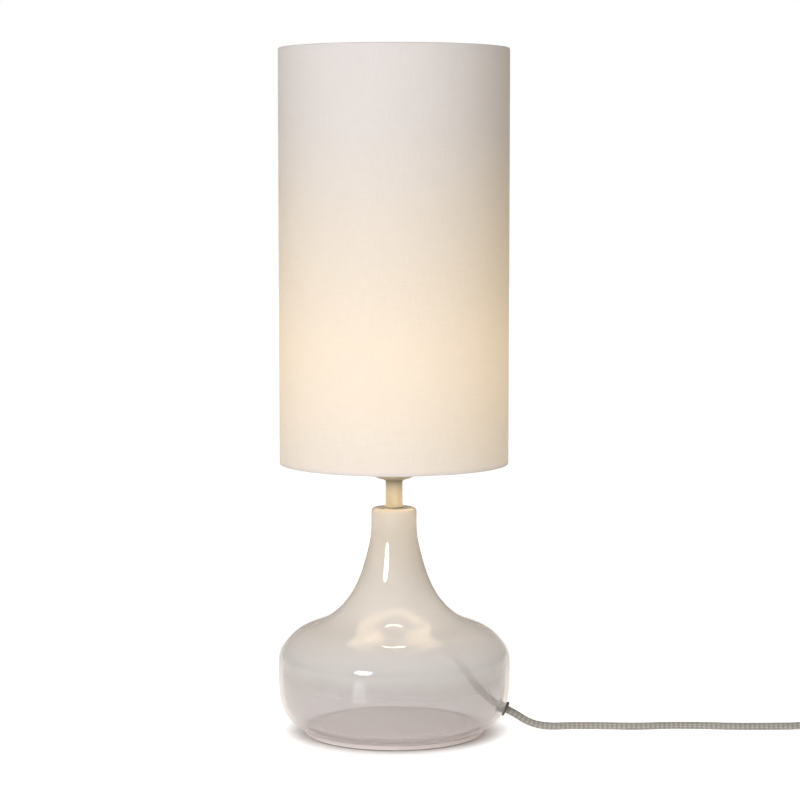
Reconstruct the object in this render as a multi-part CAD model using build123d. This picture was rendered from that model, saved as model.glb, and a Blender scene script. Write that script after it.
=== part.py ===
from build123d import *
import math
import os

# A table lamp: a blown glass base on a round plate, a short painted stem, a screw lampholder
# with its bulb, a tall drum shade hung low on the holder, and a textile mains lead with an
# inline rocker switch and a flat two-pin plug. Millimetres, +Z up, origin under the foot's centre.

# Foot, from the table upwards
felt_radius = 76.5
felt_thickness = 1.2
plate_radius = 78.5
plate_thickness = 4.3
plate_edge_round = 0.8
plate_spigot_radius = 64.0
plate_spigot_height = 2.4
seal_width = 8.0
seal_thickness = 0.8
seal_inset = 1.5

# Glass base
glass_top = 199.5
glass_wall = 4.0
glass_top_wall = 5.0
glass_neck_radius = 19.9
glass_neck_round = 3.5
glass_neck_foot_z = 186.0
glass_belly_radius = 101.7
glass_belly_z = 58.0
glass_heel_radius = 80.0
glass_opening_radius = 66.0
# The flare, as shares of the way out from neck to belly and down from neck foot to belly
glass_flare = ((0.059, 0.234), (0.171, 0.437), (0.323, 0.578), (0.523, 0.672), (0.80, 0.75), (0.972, 0.872))
exit_height = 21.0
exit_inset = 4.7
lower_belly_drop = 18.0
lower_belly_inset = 0.35

# Mains lead
cord_diameter = 6.5
cord_fit = 0.15
core_diameter = 2.2
sheath_end_depth = 1.0

# Cord grommet in the glass
grommet_sleeve_wall = 1.35
grommet_flange_radius = 6.6
grommet_flange_thickness = 1.9
grommet_barb_radius = 6.2
grommet_barb_thickness = 1.3
grommet_standoff = 0.3
grommet_barb_gap = 1.0

# Stem and its clamp through the top of the glass
tube_wall = 1.25
tube_bore_clearance = 0.5
tube_bottom = 172.0
tube_fit = 0.1
stem_length = 23.4
stem_radius = 7.5
stem_flare_radius = 8.5
stem_flare_height = 3.6
upper_washer_radius = 8.3
upper_washer_thickness = 0.5
lower_washer_radius = 13.0
lower_washer_thickness = 1.5
steel_washer_radius = 11.5
steel_washer_thickness = 1.5
nut_across_flats = 14.0
nut_thickness = 4.0
bush_lip = 1.5
bush_sleeve = 4.0
bush_wall = 1.2
tube_in_holder = 6.0

# Lampholder
cup_boss_radius = 8.8
cup_boss_height = 0.9
cup_overhang = 0.5
cup_height = 14.5
cup_wall = 1.8
cup_boss_inner_radius = 8.0
skirt_radius = 19.5
skirt_height = 30.0
skirt_flange_width = 3.0
skirt_flange_thickness = 2.0
skirt_flange_above_cup = 7.0
insert_thickness = 4.0
insert_fit = 0.2
insert_wire_hole_radius = 1.9
shell_wall = 0.7
shell_height = 23.0
shell_fit = 0.1
contact_thickness = 0.6
contact_width = 6.2
holder_screw_radius = 1.5
holder_screw_length = 5.0
holder_screw_offset = 10.5
holder_screw_head_radius = 2.3
holder_screw_head = 1.4
holder_screw_slot = 0.6

# Bulb
cap_radius = 13.1
cap_wall = 0.5
cap_height = 25.0
bulb_neck_radius = 13.6
bulb_globe_radius = 30.0
bulb_length = 105.0
bulb_wall = 0.8
tip_radius = 4.6
tip_height = 1.3
cap_insulator_height = 3.2
cap_insulator_top_radius = 12.4
bulb_stem_radius = 4.0
bulb_stem_height = 34.0
filament_radius = 0.8
filament_length = 30.0
filament_circle = 8.0
filament_count = 4

# Shade and its fitter
shade_radius = 100.0
shade_height = 360.0
shade_bottom = 238.0
fabric_thickness = 0.5
liner_thickness = 0.5
glue_gap = 0.05
hem_width = 4.0
hem_return = 8.0
ring_wire_radius = 1.1
ring_wire_gap = 0.1
hub_clearance = 0.4
hub_width = 6.1
hub_thickness = 1.5
seat_gap = 0.05
spoke_radius = 1.5
spoke_weld = 0.3
spoke_count = 4
lock_ring_width = 8.5
lock_ring_height = 7.0
lock_ring_fit = 0.08
lock_ring_flange = 1.8
lock_ring_hub_width = 4.0
lock_ring_ribs = 24
lock_ring_rib_radius = 0.8

# Inline switch, with its length along the lead and its middle so far out from the glass
switch_reach = 341.3
switch_y = 7.0
switch_length = 62.0
switch_width = 26.0
switch_height = 20.0
switch_corner = 9.0
switch_wall = 2.0
switch_edge_round = 2.0
switch_sleeve_length = 12.0
switch_sleeve_radius = 5.2
switch_sleeve_tip_radius = 4.3
rocker_length = 15.8
rocker_width = 9.8
rocker_gap = 1.0
rocker_side_gap = 0.3
rocker_pivot_depth = 4.5
rocker_rise = 4.6
rocker_dip = 1.0
rocker_drop = 3.0
rocker_tilt = 8.0
rocker_pin_radius = 1.25
rocker_pin_fit = 0.05
rocker_ear_length = 7.0
rocker_ear_thickness = 2.0
rocker_ear_drop = 4.2
fixed_contact_length = 8.0
fixed_contact_width = 6.0
fixed_contact_height = 4.5
fixed_contact_offset = 12.0
bridge_length = 9.0
bridge_width = 4.0
bridge_thickness = 0.8
switch_screw_radius = 1.4
switch_screw_head_radius = 2.7
switch_screw_head = 1.6
switch_screw_inset = 0.6
switch_screw_clearance = 7.0
switch_screw_offset = 20.0
switch_boss_radius = 3.4
clamp_width = 14.0
clamp_length = 4.0
clamp_thickness = 3.0
clamp_offset = 25.8

# Plug
plug_length = 35.0
plug_width = 26.0
plug_height = 14.0
plug_nose_length = 14.0
plug_tail_width = 15.0
plug_tail_height = 11.0
plug_edge_round = 2.0
plug_relief_length = 25.0
plug_relief_radius = 4.9
plug_relief_tip_radius = 3.9
plug_relief_groove = 0.6
plug_relief_grooves = 6
pin_radius = 2.0
pin_length = 19.0
pin_spacing = 18.6
pin_inside = 12.0
pin_tip_round = 1.0
pin_sleeve_radius = 1.8
pin_sleeve_length = 10.0
pin_sleeve_fit = 0.02
pin_core_radius = 1.3
plug_tip_reach = 444.3
plug_y = 166.0

# Coil of the spare lead, tied, flat on the table
coil_reach = 343.3
coil_y = 130.0
coil_middle_radius = 35.75
coil_turns = 5.5
coil_layers = 2
tie_thickness = 0.8
tie_width = 11.0
tie_clearance = 0.05
tie_angle = 155.0

# The lead's route from the glass to the switch, to the coil and to the plug, point by point:
# how far out from the widest part of the glass, how far to the side, and how high
lead_route = (
    (4.9, 0.0, 16.35),
    (17.7, 1.8, 7.3),
    (34.3, 5.4, 3.25),
    (56.3, 9.4, 3.25),
    (85.3, 8.3, 3.25),
    (113.3, 5.8, 3.25),
    (144.3, 10.4, 3.25),
    (171.3, 9.2, 3.25),
    (199.3, 5.6, 3.25),
    (231.3, 6.2, 3.25),
    (256.3, 7.0, 3.25),
    (274.3, 7.0, 6.4),
    (289.3, 7.0, 10.0),
)
coil_approach = (
    (393.3, 7.0, 10.0),
    (408.8, 7.5, 7.2),
    (426.7, 17.2, 4.2),
    (437.7, 35.2, 3.25),
    (437.3, 56.8, 3.25),
    (426.3, 75.2, 3.25),
    (408.3, 85.0, 3.25),
    (385.3, 86.4, 3.25),
)
plug_approach = (
    (369.3, 174.9, 10.3),
    (387.3, 174.6, 5.7),
    (405.3, 172.0, 3.25),
    (421.3, 168.2, 4.2),
    (434.3, 166.2, 7.0),
)

# Heights and radii that follow from the sizes above
cord_radius = cord_diameter / 2
tube_bore_radius = cord_radius + tube_bore_clearance
tube_radius = tube_bore_radius + tube_wall
bush_radius = tube_radius + bush_wall
cup_radius = skirt_radius + cup_overhang
skirt_flange_radius = skirt_radius + skirt_flange_width
hub_inner_radius = skirt_radius + hub_clearance
hub_outer_radius = hub_inner_radius + hub_width
lock_ring_radius = skirt_radius + lock_ring_width
lock_ring_hub_radius = skirt_radius + lock_ring_hub_width
switch_x = glass_belly_radius + switch_reach
coil_x = glass_belly_radius + coil_reach
plug_tip_x = glass_belly_radius + plug_tip_reach
rocker_pivot_z = switch_height - rocker_pivot_depth
switch_screw_length = switch_height - switch_screw_clearance
plate_top = felt_thickness + plate_thickness
glass_bottom = plate_top + seal_thickness
glass_cavity_top = glass_top - glass_top_wall
stem_bottom = glass_top + upper_washer_thickness
stem_top = stem_bottom + stem_length
cup_top = stem_top + cup_height
tube_top = stem_top + tube_in_holder
flange_top = cup_top + skirt_flange_above_cup + skirt_flange_thickness
skirt_top = cup_top + skirt_height
insert_bottom = cup_top - insert_thickness
shell_inner_radius = cap_radius + shell_fit
tip_bottom = cup_top + 2 * contact_thickness + 3.4
cap_bottom = tip_bottom + tip_height + cap_insulator_height
cap_top = cap_bottom + cap_height
globe_z = tip_bottom + bulb_length - bulb_globe_radius
hub_bottom = flange_top + seat_gap
hub_top = hub_bottom + hub_thickness
shade_top = shade_bottom + shade_height
liner_outer_radius = shade_radius - fabric_thickness - glue_gap
liner_inner_radius = liner_outer_radius - liner_thickness
ring_wire_middle = liner_inner_radius - ring_wire_gap - ring_wire_radius
switch_mid_z = switch_height / 2
switch_end = switch_length / 2 + switch_sleeve_length
plug_mid_z = plug_height / 2
coil_layer_radii = coil_turns / coil_layers * cord_diameter / 2
coil_outer_radius = coil_middle_radius + coil_layer_radii + cord_radius
coil_inner_radius = coil_middle_radius - coil_layer_radii - cord_radius
coil_bottom = tie_thickness + tie_clearance
coil_top = coil_bottom + coil_layers * cord_diameter
coil_lane = coil_middle_radius + coil_layer_radii


def ring(outer_radius, inner_radius, bottom, height):
    """A flat washer or short tube on the lamp's axis."""
    outer = Cylinder(outer_radius, height, align=(Align.CENTER, Align.CENTER, Align.MIN))
    bore = Cylinder(inner_radius, height, align=(Align.CENTER, Align.CENTER, Align.MIN))
    return Pos(0, 0, bottom) * (outer - bore)


def turned(points):
    """A solid of revolution about the lamp's axis from corner points (radius, height)."""
    corners = [(radius, 0, height) for radius, height in points]
    return revolve(make_face(Polyline(*corners, close=True)), Axis.Z)


def cylinder_along(start, direction, radius, length):
    """A round bar from a start point along a direction."""
    return Plane(origin=start, z_dir=direction) * Cylinder(
        radius, length, align=(Align.CENTER, Align.CENTER, Align.MIN)
    )


def glass_outline():
    """The glass's outer curve, from the foot of the neck down over the belly to the heel."""
    spread = glass_belly_radius - glass_neck_radius
    drop = glass_neck_foot_z - glass_belly_z
    flare = [
        (glass_neck_radius + out * spread, 0, glass_neck_foot_z - down * drop)
        for out, down in glass_flare
    ]
    upper = Spline(
        (glass_neck_radius, 0, glass_neck_foot_z),
        *flare,
        (glass_belly_radius, 0, glass_belly_z),
        tangents=[(0, 0, -1), (0, 0, -1)],
    )
    lower = Spline(
        (glass_belly_radius, 0, glass_belly_z),
        (glass_belly_radius - lower_belly_inset, 0, glass_belly_z - lower_belly_drop),
        (glass_belly_radius - exit_inset, 0, exit_height),
        (glass_heel_radius, 0, glass_bottom),
        tangents=[(0, 0, -1), (-1, 0, -0.35)],
    )
    return upper, lower


def inner_point(curve, share):
    """A point of the glass's inner surface, one wall inside the outer curve."""
    tangent = curve % share
    inward = Vector(tangent.Z, 0, -tangent.X)
    return curve @ share + inward * glass_wall


def exit_frame():
    """Where the lead leaves the glass: the point on the outer surface and the outward direction."""
    lower = glass_outline()[1]
    point = Vector(glass_belly_radius - exit_inset, 0, exit_height)
    tangent = lower % lower.param_at_point(point)
    outward = Vector(-tangent.Z, 0, tangent.X)
    return point, outward


def neck_rounding(rim_radius):
    """The quarter round between the glass's top face and its neck."""
    diagonal = math.sqrt(0.5)
    return ThreePointArc(
        (rim_radius, 0, glass_top),
        (
            rim_radius + glass_neck_round * diagonal,
            0,
            glass_top - glass_neck_round * (1 - diagonal),
        ),
        (glass_neck_radius, 0, glass_top - glass_neck_round),
    )


def glass_body():
    upper, lower = glass_outline()
    upper_inner = [inner_point(upper, step / 12) for step in range(13)]
    lower_inner = [inner_point(lower, step / 6) for step in range(1, 7)]
    inner = Spline(*upper_inner, *lower_inner)
    bore_radius = tube_radius + tube_fit
    rim_radius = glass_neck_radius - glass_neck_round
    inner_neck = glass_neck_radius - glass_wall
    heel_inner = inner @ 1
    sides = [
        Line((bore_radius, 0, glass_top), (rim_radius, 0, glass_top)),
        neck_rounding(rim_radius),
        Line((glass_neck_radius, 0, glass_top - glass_neck_round), (glass_neck_radius, 0, glass_neck_foot_z)),
        upper,
        lower,
        Line((glass_heel_radius, 0, glass_bottom), (glass_opening_radius, 0, glass_bottom)),
        Line((glass_opening_radius, 0, glass_bottom), (glass_opening_radius, 0, heel_inner.Z)),
        Line((glass_opening_radius, 0, heel_inner.Z), heel_inner),
        inner,
        Line((inner_neck, 0, glass_neck_foot_z), (inner_neck, 0, glass_cavity_top)),
        Line((inner_neck, 0, glass_cavity_top), (bore_radius, 0, glass_cavity_top)),
        Line((bore_radius, 0, glass_cavity_top), (bore_radius, 0, glass_top)),
    ]
    body = revolve(make_face(sides), Axis.Z)
    point, outward = exit_frame()
    drill = cylinder_along(
        point - outward * glass_wall * 3,
        outward,
        cord_radius + cord_fit + grommet_sleeve_wall,
        glass_wall * 5,
    )
    return body - drill


def base_plate():
    plate = turned(
        (
            (0, felt_thickness),
            (plate_radius - plate_edge_round, felt_thickness),
            (plate_radius, felt_thickness + plate_edge_round),
            (plate_radius, plate_top - plate_edge_round),
            (plate_radius - plate_edge_round, plate_top),
            (plate_spigot_radius, plate_top),
            (plate_spigot_radius, plate_top + plate_spigot_height),
            (0, plate_top + plate_spigot_height),
        )
    )
    return plate


def base_seal():
    outer_radius = plate_radius - seal_inset
    return ring(outer_radius, outer_radius - seal_width, plate_top, seal_thickness)


def felt_pad():
    return Cylinder(felt_radius, felt_thickness, align=(Align.CENTER, Align.CENTER, Align.MIN))


def cord_grommet():
    """A rubber bush along the exit: flange outside, sleeve through the wall, barb inside."""
    point, outward = exit_frame()
    sleeve_radius = cord_radius + cord_fit + grommet_sleeve_wall
    barb_depth = glass_wall + grommet_barb_gap + grommet_barb_thickness
    sleeve_length = barb_depth + grommet_standoff
    sleeve = cylinder_along(point - outward * barb_depth, outward, sleeve_radius - 0.05, sleeve_length)
    barb = cylinder_along(point - outward * barb_depth, outward, grommet_barb_radius, grommet_barb_thickness)
    flange = cylinder_along(
        point + outward * grommet_standoff, outward, grommet_flange_radius, grommet_flange_thickness
    )
    flange = fillet(flange.edges().filter_by(GeomType.CIRCLE), grommet_flange_thickness * 0.4)
    bore = cylinder_along(point - outward * 2 * barb_depth, outward, cord_radius + cord_fit, 4 * barb_depth)
    return sleeve + barb + flange - bore


def cord_start():
    """The middle of the grommet's outer face, where the free lead begins."""
    point, outward = exit_frame()
    return point + outward * (grommet_standoff + grommet_flange_thickness)


def rounded_route(points):
    """Straight runs joined by the widest arcs that the two runs at each corner allow."""
    points = [Vector(*point) for point in points]
    radii = []
    for before, corner, after in zip(points, points[1:], points[2:]):
        arriving = corner - before
        leaving = after - corner
        half_turn = math.radians(arriving.get_angle(leaving)) / 2
        radii.append(0.45 * min(arriving.length, leaving.length) / math.tan(half_turn))
    return FilletPolyline(*points, radius=radii), radii


def cord_tube(name, points):
    """The lead along one route, with its bend radii and a check of its volume."""
    path, radii = rounded_route(points)
    section = Plane(origin=path @ 0, z_dir=path % 0) * Circle(cord_radius)
    tube = sweep(section, path=path)
    expected = math.pi * cord_radius**2 * path.length
    print(name, "length", round(path.length, 1), "bend radii", [round(radius) for radius in radii])
    print(name, "volume over section times length", round(tube.volume / expected, 4))
    return tube


def inner_cord():
    point, outward = exit_frame()
    back = point - outward * 19
    route = (
        (0, 0, tube_top - sheath_end_depth),
        (0, 0, tube_bottom - 26),
        (17, 0, tube_bottom - 66),
        (55, 0, tube_bottom - 106),
        tuple(back),
        tuple(cord_start()),
    )
    return cord_tube("inner_cord", route)


def out_from_glass(points):
    """Route points, moved out by the radius of the glass."""
    return [(glass_belly_radius + out, side, height) for out, side, height in points]


def cord_to_switch():
    finish = (switch_x - switch_end, switch_y, switch_mid_z)
    route = (tuple(cord_start()), *out_from_glass(lead_route), finish)
    return cord_tube("cord_to_switch", route)


def cord_to_coil():
    start = (switch_x + switch_end, switch_y, switch_mid_z)
    finish = (coil_x + coil_middle_radius / 2, coil_y - coil_lane, cord_radius)
    return cord_tube("cord_to_coil", (start, *out_from_glass(coil_approach), finish))


def cord_to_plug():
    start = (coil_x + coil_middle_radius / 3, coil_y + coil_lane, coil_top - cord_radius)
    finish = (plug_tip_x, plug_y, plug_mid_z)
    return cord_tube("cord_to_plug", (start, *out_from_glass(plug_approach), finish))


def cord_coil():
    """The outer shape of the tied turns: a flat ring with rounded edges."""
    width = coil_outer_radius - coil_inner_radius
    height = coil_top - coil_bottom
    section = Plane.XZ * Pos(coil_middle_radius, coil_bottom + height / 2) * RectangleRounded(
        width, height, cord_radius
    )
    return Pos(coil_x, coil_y, 0) * revolve(section, Axis.Z)


def coil_tie():
    """A hook-and-loop strap once round the turns."""
    width = coil_outer_radius - coil_inner_radius + 2 * tie_clearance
    height = coil_top - coil_bottom + 2 * tie_clearance
    outer = RectangleRounded(width + 2 * tie_thickness, height + 2 * tie_thickness, cord_radius)
    inner = RectangleRounded(width, height, cord_radius - tie_thickness)
    strap = extrude(Plane.XZ * (outer - inner), tie_width / 2, both=True)
    strap = Pos(coil_middle_radius, 0, (coil_bottom + coil_top) / 2) * strap
    return Pos(coil_x, coil_y, 0) * (Rot(0, 0, tie_angle) * strap)


def threaded_tube():
    return ring(tube_radius, tube_bore_radius, tube_bottom, tube_top - tube_bottom)


def tube_end_bush():
    """A plastic bush pushed up the tube's lower end, so that its edge can't cut the lead."""
    bore = cord_radius + cord_fit
    lip = ring(bush_radius, bore, tube_bottom - bush_lip, bush_lip)
    sleeve = ring(bush_radius, tube_radius + 0.02, tube_bottom, bush_sleeve)
    return lip + sleeve


def stem_sleeve():
    bore = tube_radius + tube_fit
    flare_top = stem_bottom + stem_flare_height
    return turned(
        (
            (bore, stem_bottom),
            (stem_flare_radius - 0.4, stem_bottom),
            (stem_flare_radius, stem_bottom + 0.5),
            (stem_flare_radius - 0.3, stem_bottom + stem_flare_height / 3),
            (stem_radius + 0.2, stem_bottom + stem_flare_height * 2 / 3),
            (stem_radius, flare_top),
            (stem_radius, stem_top),
            (bore, stem_top),
        )
    )


def neck_washer_upper():
    return ring(upper_washer_radius, tube_radius + tube_fit, glass_top, upper_washer_thickness)


def neck_washer_lower():
    bottom = glass_cavity_top - lower_washer_thickness
    return ring(lower_washer_radius, tube_radius + tube_fit, bottom, lower_washer_thickness)


def steel_washer():
    bottom = glass_cavity_top - lower_washer_thickness - steel_washer_thickness
    return ring(steel_washer_radius, tube_radius + tube_fit, bottom, steel_washer_thickness)


def lock_nut():
    bottom = glass_cavity_top - lower_washer_thickness - steel_washer_thickness - nut_thickness
    corner_radius = nut_across_flats / 2 / math.cos(math.pi / 6)
    hexagon = extrude(RegularPolygon(corner_radius, 6) - Circle(tube_radius + 0.02), nut_thickness)
    return Pos(0, 0, bottom) * hexagon


def holder_cap():
    """The painted cup: a shallow dome on a small boss, screwed on the tube."""
    bore = tube_radius + 0.02
    dome_start = stem_top + cup_boss_height
    dome_rise = 7.0
    steps = 6
    dome = []
    for step in range(steps + 1):
        angle = math.radians(90 * step / steps)
        radius = cup_boss_radius + (cup_radius - cup_boss_radius) * math.sin(angle)
        dome.append((radius, dome_start + dome_rise * (1 - math.cos(angle))))
    inner = [(max(radius - cup_wall, cup_boss_inner_radius), height + cup_wall) for radius, height in dome]
    boss_top = tube_top - 1.5
    return turned(
        [
            (bore, stem_top),
            (cup_boss_radius, stem_top),
            *dome,
            (cup_radius, cup_top),
            (cup_radius - cup_wall, cup_top),
            *reversed(inner[1:]),
            (cup_boss_inner_radius, dome_start + cup_wall),
            (cup_boss_inner_radius, boss_top),
            (bore, boss_top),
        ]
    )


def holder_insert():
    """The insulating disc that carries the contacts, with two holes for the cores."""
    radius = cup_radius - cup_wall - insert_fit
    disc = Pos(0, 0, insert_bottom) * Cylinder(
        radius, insert_thickness, align=(Align.CENTER, Align.CENTER, Align.MIN)
    )
    for side in (-1, 1):
        disc -= Pos(0, side * holder_screw_offset, insert_bottom) * Cylinder(
            insert_wire_hole_radius, 4 * insert_thickness
        )
        disc -= Pos(side * holder_screw_offset, 0, cup_top) * Cylinder(
            holder_screw_radius, 2 * (holder_screw_length - 1.5)
        )
    return disc


def holder_body():
    """The threaded skirt with the flange that the shade's hub rests on."""
    bore = shell_inner_radius + shell_wall + shell_fit
    flange_bottom = flange_top - skirt_flange_thickness
    thread_depth = 0.5
    thread_pitch = 3.0
    outline = [
        (bore, cup_top),
        (cup_radius, cup_top),
        (cup_radius, flange_bottom - 1.5),
        (skirt_flange_radius, flange_bottom),
        (skirt_flange_radius, flange_top),
        (skirt_radius, flange_top),
    ]
    height = flange_top + hub_thickness + 1.0
    while height + thread_pitch < skirt_top - 1.0:
        outline.append((skirt_radius, height))
        outline.append((skirt_radius - thread_depth, height + thread_pitch / 2 - 0.4))
        outline.append((skirt_radius - thread_depth, height + thread_pitch / 2 + 0.4))
        outline.append((skirt_radius, height + thread_pitch - 0.3))
        height += thread_pitch
    outline.append((skirt_radius, skirt_top - 0.8))
    outline.append((skirt_radius - 0.8, skirt_top))
    outline.append((bore, skirt_top))
    return turned(outline)


def screw_shell():
    return ring(
        shell_inner_radius + shell_wall,
        shell_inner_radius,
        skirt_top - shell_height - 1.5,
        shell_height,
    )


def centre_contact():
    """The sprung strip under the bulb's tip."""
    foot_x = -holder_screw_offset
    foot = Pos(foot_x, 0, cup_top) * Box(
        contact_width, contact_width, contact_thickness, align=(Align.CENTER, Align.CENTER, Align.MIN)
    )
    foot -= Pos(foot_x, 0, cup_top) * Cylinder(holder_screw_radius + tube_fit, 4 * contact_thickness)
    riser_x = foot_x + contact_width / 2
    arm_top = tip_bottom - 0.2
    riser = Pos(riser_x, 0, cup_top) * Box(
        contact_thickness, contact_width, arm_top - cup_top, align=(Align.MIN, Align.CENTER, Align.MIN)
    )
    arm_reach = contact_width / 2 - riser_x
    arm = Pos(riser_x, 0, arm_top) * Box(
        arm_reach, contact_width, contact_thickness, align=(Align.MIN, Align.CENTER, Align.MAX)
    )
    return foot + riser + arm


def side_contact():
    """The strip that joins the other core to the screw shell."""
    foot_x = holder_screw_offset
    foot = Pos(foot_x, 0, cup_top) * Box(
        contact_width, contact_width, contact_thickness, align=(Align.CENTER, Align.CENTER, Align.MIN)
    )
    foot -= Pos(foot_x, 0, cup_top) * Cylinder(holder_screw_radius + tube_fit, 4 * contact_thickness)
    riser_x = foot_x + contact_width / 2
    shell_bottom = skirt_top - shell_height - 1.5
    riser = Pos(riser_x, 0, cup_top) * Box(
        contact_thickness, contact_width, shell_bottom - cup_top, align=(Align.MAX, Align.CENTER, Align.MIN)
    )
    return foot + riser


def terminal_screws():
    """Two cheese-head screws that clamp the cores under the contact strips."""
    screws = []
    for side in (-1, 1):
        bottom = cup_top - holder_screw_length + 2.0
        shank = Cylinder(
            holder_screw_radius - 0.05,
            cup_top + contact_thickness - bottom,
            align=(Align.CENTER, Align.CENTER, Align.MIN),
        )
        head = Pos(0, 0, cup_top + contact_thickness - bottom) * Cylinder(
            holder_screw_head_radius, holder_screw_head, align=(Align.CENTER, Align.CENTER, Align.MIN)
        )
        slot = Pos(0, 0, cup_top + contact_thickness - bottom + holder_screw_head) * Box(
            3 * holder_screw_head_radius, holder_screw_slot, holder_screw_head
        )
        screws.append(Pos(side * holder_screw_offset, 0, bottom) * (shank + head - slot))
    return Compound(children=screws)


def wire_cores():
    """The two insulated cores, from the end of the sheath up through the insert."""
    cores = []
    for side in (-1, 1):
        route = (
            (0, side * core_diameter * 0.55, tube_top - sheath_end_depth + 0.05),
            (0, side * core_diameter * 0.55, tube_top + 0.9),
            (0, side * holder_screw_offset, insert_bottom - 1.9),
            (0, side * holder_screw_offset, cup_top + 1.2),
        )
        path = FilletPolyline(*route, radius=0.6)
        section = Plane(origin=path @ 0, z_dir=path % 0) * Circle(core_diameter / 2)
        cores.append(sweep(section, path=path))
    return Compound(children=cores)


def fitter_hub():
    return ring(hub_outer_radius, hub_inner_radius, hub_bottom, hub_thickness)


def fitter_spokes():
    """Straight wires welded from under the hub's edge to the bottom ring."""
    weld_z = hub_bottom - spoke_radius + spoke_weld
    ring_z = shade_bottom + fabric_thickness + ring_wire_gap + ring_wire_radius
    start = Vector(hub_outer_radius - 2.0, 0, weld_z)
    finish = Vector(ring_wire_middle, 0, ring_z + ring_wire_radius)
    run = finish - start
    spoke = cylinder_along(start, run, spoke_radius, run.length)
    spokes = [Rot(0, 0, 360 * index / spoke_count) * spoke for index in range(spoke_count)]
    return Compound(children=spokes)


def wire_ring(height):
    return Pos(0, 0, height) * Torus(ring_wire_middle, ring_wire_radius)


def bottom_wire_ring():
    return wire_ring(shade_bottom + fabric_thickness + ring_wire_gap + ring_wire_radius)


def top_wire_ring():
    return wire_ring(shade_top - fabric_thickness - ring_wire_gap - ring_wire_radius)


def shade_liner():
    """The stiff plastic sheet behind the fabric."""
    margin = fabric_thickness + ring_wire_gap
    return ring(
        liner_outer_radius, liner_inner_radius, shade_bottom + margin, shade_height - 2 * margin
    )


def shade_fabric():
    """Fabric glued to the liner and turned in over both wire rings."""
    outer = shade_radius
    skin = shade_radius - fabric_thickness
    hem = shade_radius - hem_width
    hem_skin = hem + fabric_thickness
    low = shade_bottom
    high = shade_top
    turn = fabric_thickness
    return turned(
        (
            (outer, low),
            (outer, high),
            (hem, high),
            (hem, high - hem_return),
            (hem_skin, high - hem_return),
            (hem_skin, high - turn),
            (skin, high - turn),
            (skin, low + turn),
            (hem_skin, low + turn),
            (hem_skin, low + hem_return),
            (hem, low + hem_return),
            (hem, low),
        )
    )


def shade_ring():
    """The ribbed ring that screws down the skirt and clamps the hub."""
    bore = skirt_radius + lock_ring_fit
    bottom = hub_top + seat_gap
    body = turned(
        (
            (bore, bottom),
            (lock_ring_radius, bottom),
            (lock_ring_radius, bottom + lock_ring_flange),
            (lock_ring_hub_radius + 0.8, bottom + lock_ring_flange + 0.6),
            (lock_ring_hub_radius, bottom + lock_ring_height),
            (bore, bottom + lock_ring_height),
        )
    )
    for index in range(lock_ring_ribs):
        rib = Pos(lock_ring_hub_radius - 0.2, 0, bottom + 1.0) * Cylinder(
            lock_ring_rib_radius,
            lock_ring_height - 1.6,
            align=(Align.CENTER, Align.CENTER, Align.MIN),
        )
        body += Rot(0, 0, 360 * index / lock_ring_ribs) * rib
    return body


def bulb_outline(inset):
    """The bulb's curve from its neck to its top, inset by a wall."""
    neck = bulb_neck_radius - inset
    globe = bulb_globe_radius - inset
    touch = math.radians(-38)
    flare_foot = cap_top + 6
    return [
        Line((neck, 0, cap_top + 0.1), (neck, 0, flare_foot)),
        Spline(
            (neck, 0, flare_foot),
            (globe * math.cos(touch), 0, globe_z + globe * math.sin(touch)),
            tangents=[(0, 0, 1), (-math.sin(touch), 0, math.cos(touch))],
        ),
        ThreePointArc(
            (globe * math.cos(touch), 0, globe_z + globe * math.sin(touch)),
            (globe * math.cos(math.radians(30)), 0, globe_z + globe * math.sin(math.radians(30))),
            (0, 0, globe_z + globe),
        ),
    ]


def bulb_envelope():
    outer = bulb_outline(0)
    inner = bulb_outline(bulb_wall)
    sides = [
        *outer,
        Line((0, 0, globe_z + bulb_globe_radius), (0, 0, globe_z + bulb_globe_radius - bulb_wall)),
        *inner,
        Line((bulb_neck_radius - bulb_wall, 0, cap_top + 0.1), (bulb_neck_radius, 0, cap_top + 0.1)),
    ]
    return revolve(make_face(sides), Axis.Z)


def bulb_stem():
    """The glass mount inside the bulb: a flared foot and a rod."""
    foot = cap_top + 0.4
    return turned(
        (
            (0, foot),
            (bulb_neck_radius - bulb_wall - 0.5, foot),
            (bulb_neck_radius - bulb_wall - 0.7, foot + 1.2),
            (bulb_stem_radius, foot + 7),
            (bulb_stem_radius * 0.7, foot + bulb_stem_height * 0.5),
            (bulb_stem_radius * 0.35, foot + bulb_stem_height),
            (0, foot + bulb_stem_height),
        )
    )


def bulb_filaments():
    """Light strips standing round the mount, leaning in at the top."""
    strips = []
    for index in range(filament_count):
        strip = Pos(filament_circle, 0, globe_z - filament_length * 0.45) * Cylinder(
            filament_radius, filament_length, align=(Align.CENTER, Align.CENTER, Align.MIN)
        )
        strips.append(Rot(0, 0, 360 * (index + 0.5) / filament_count) * strip)
    return Compound(children=strips)


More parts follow.
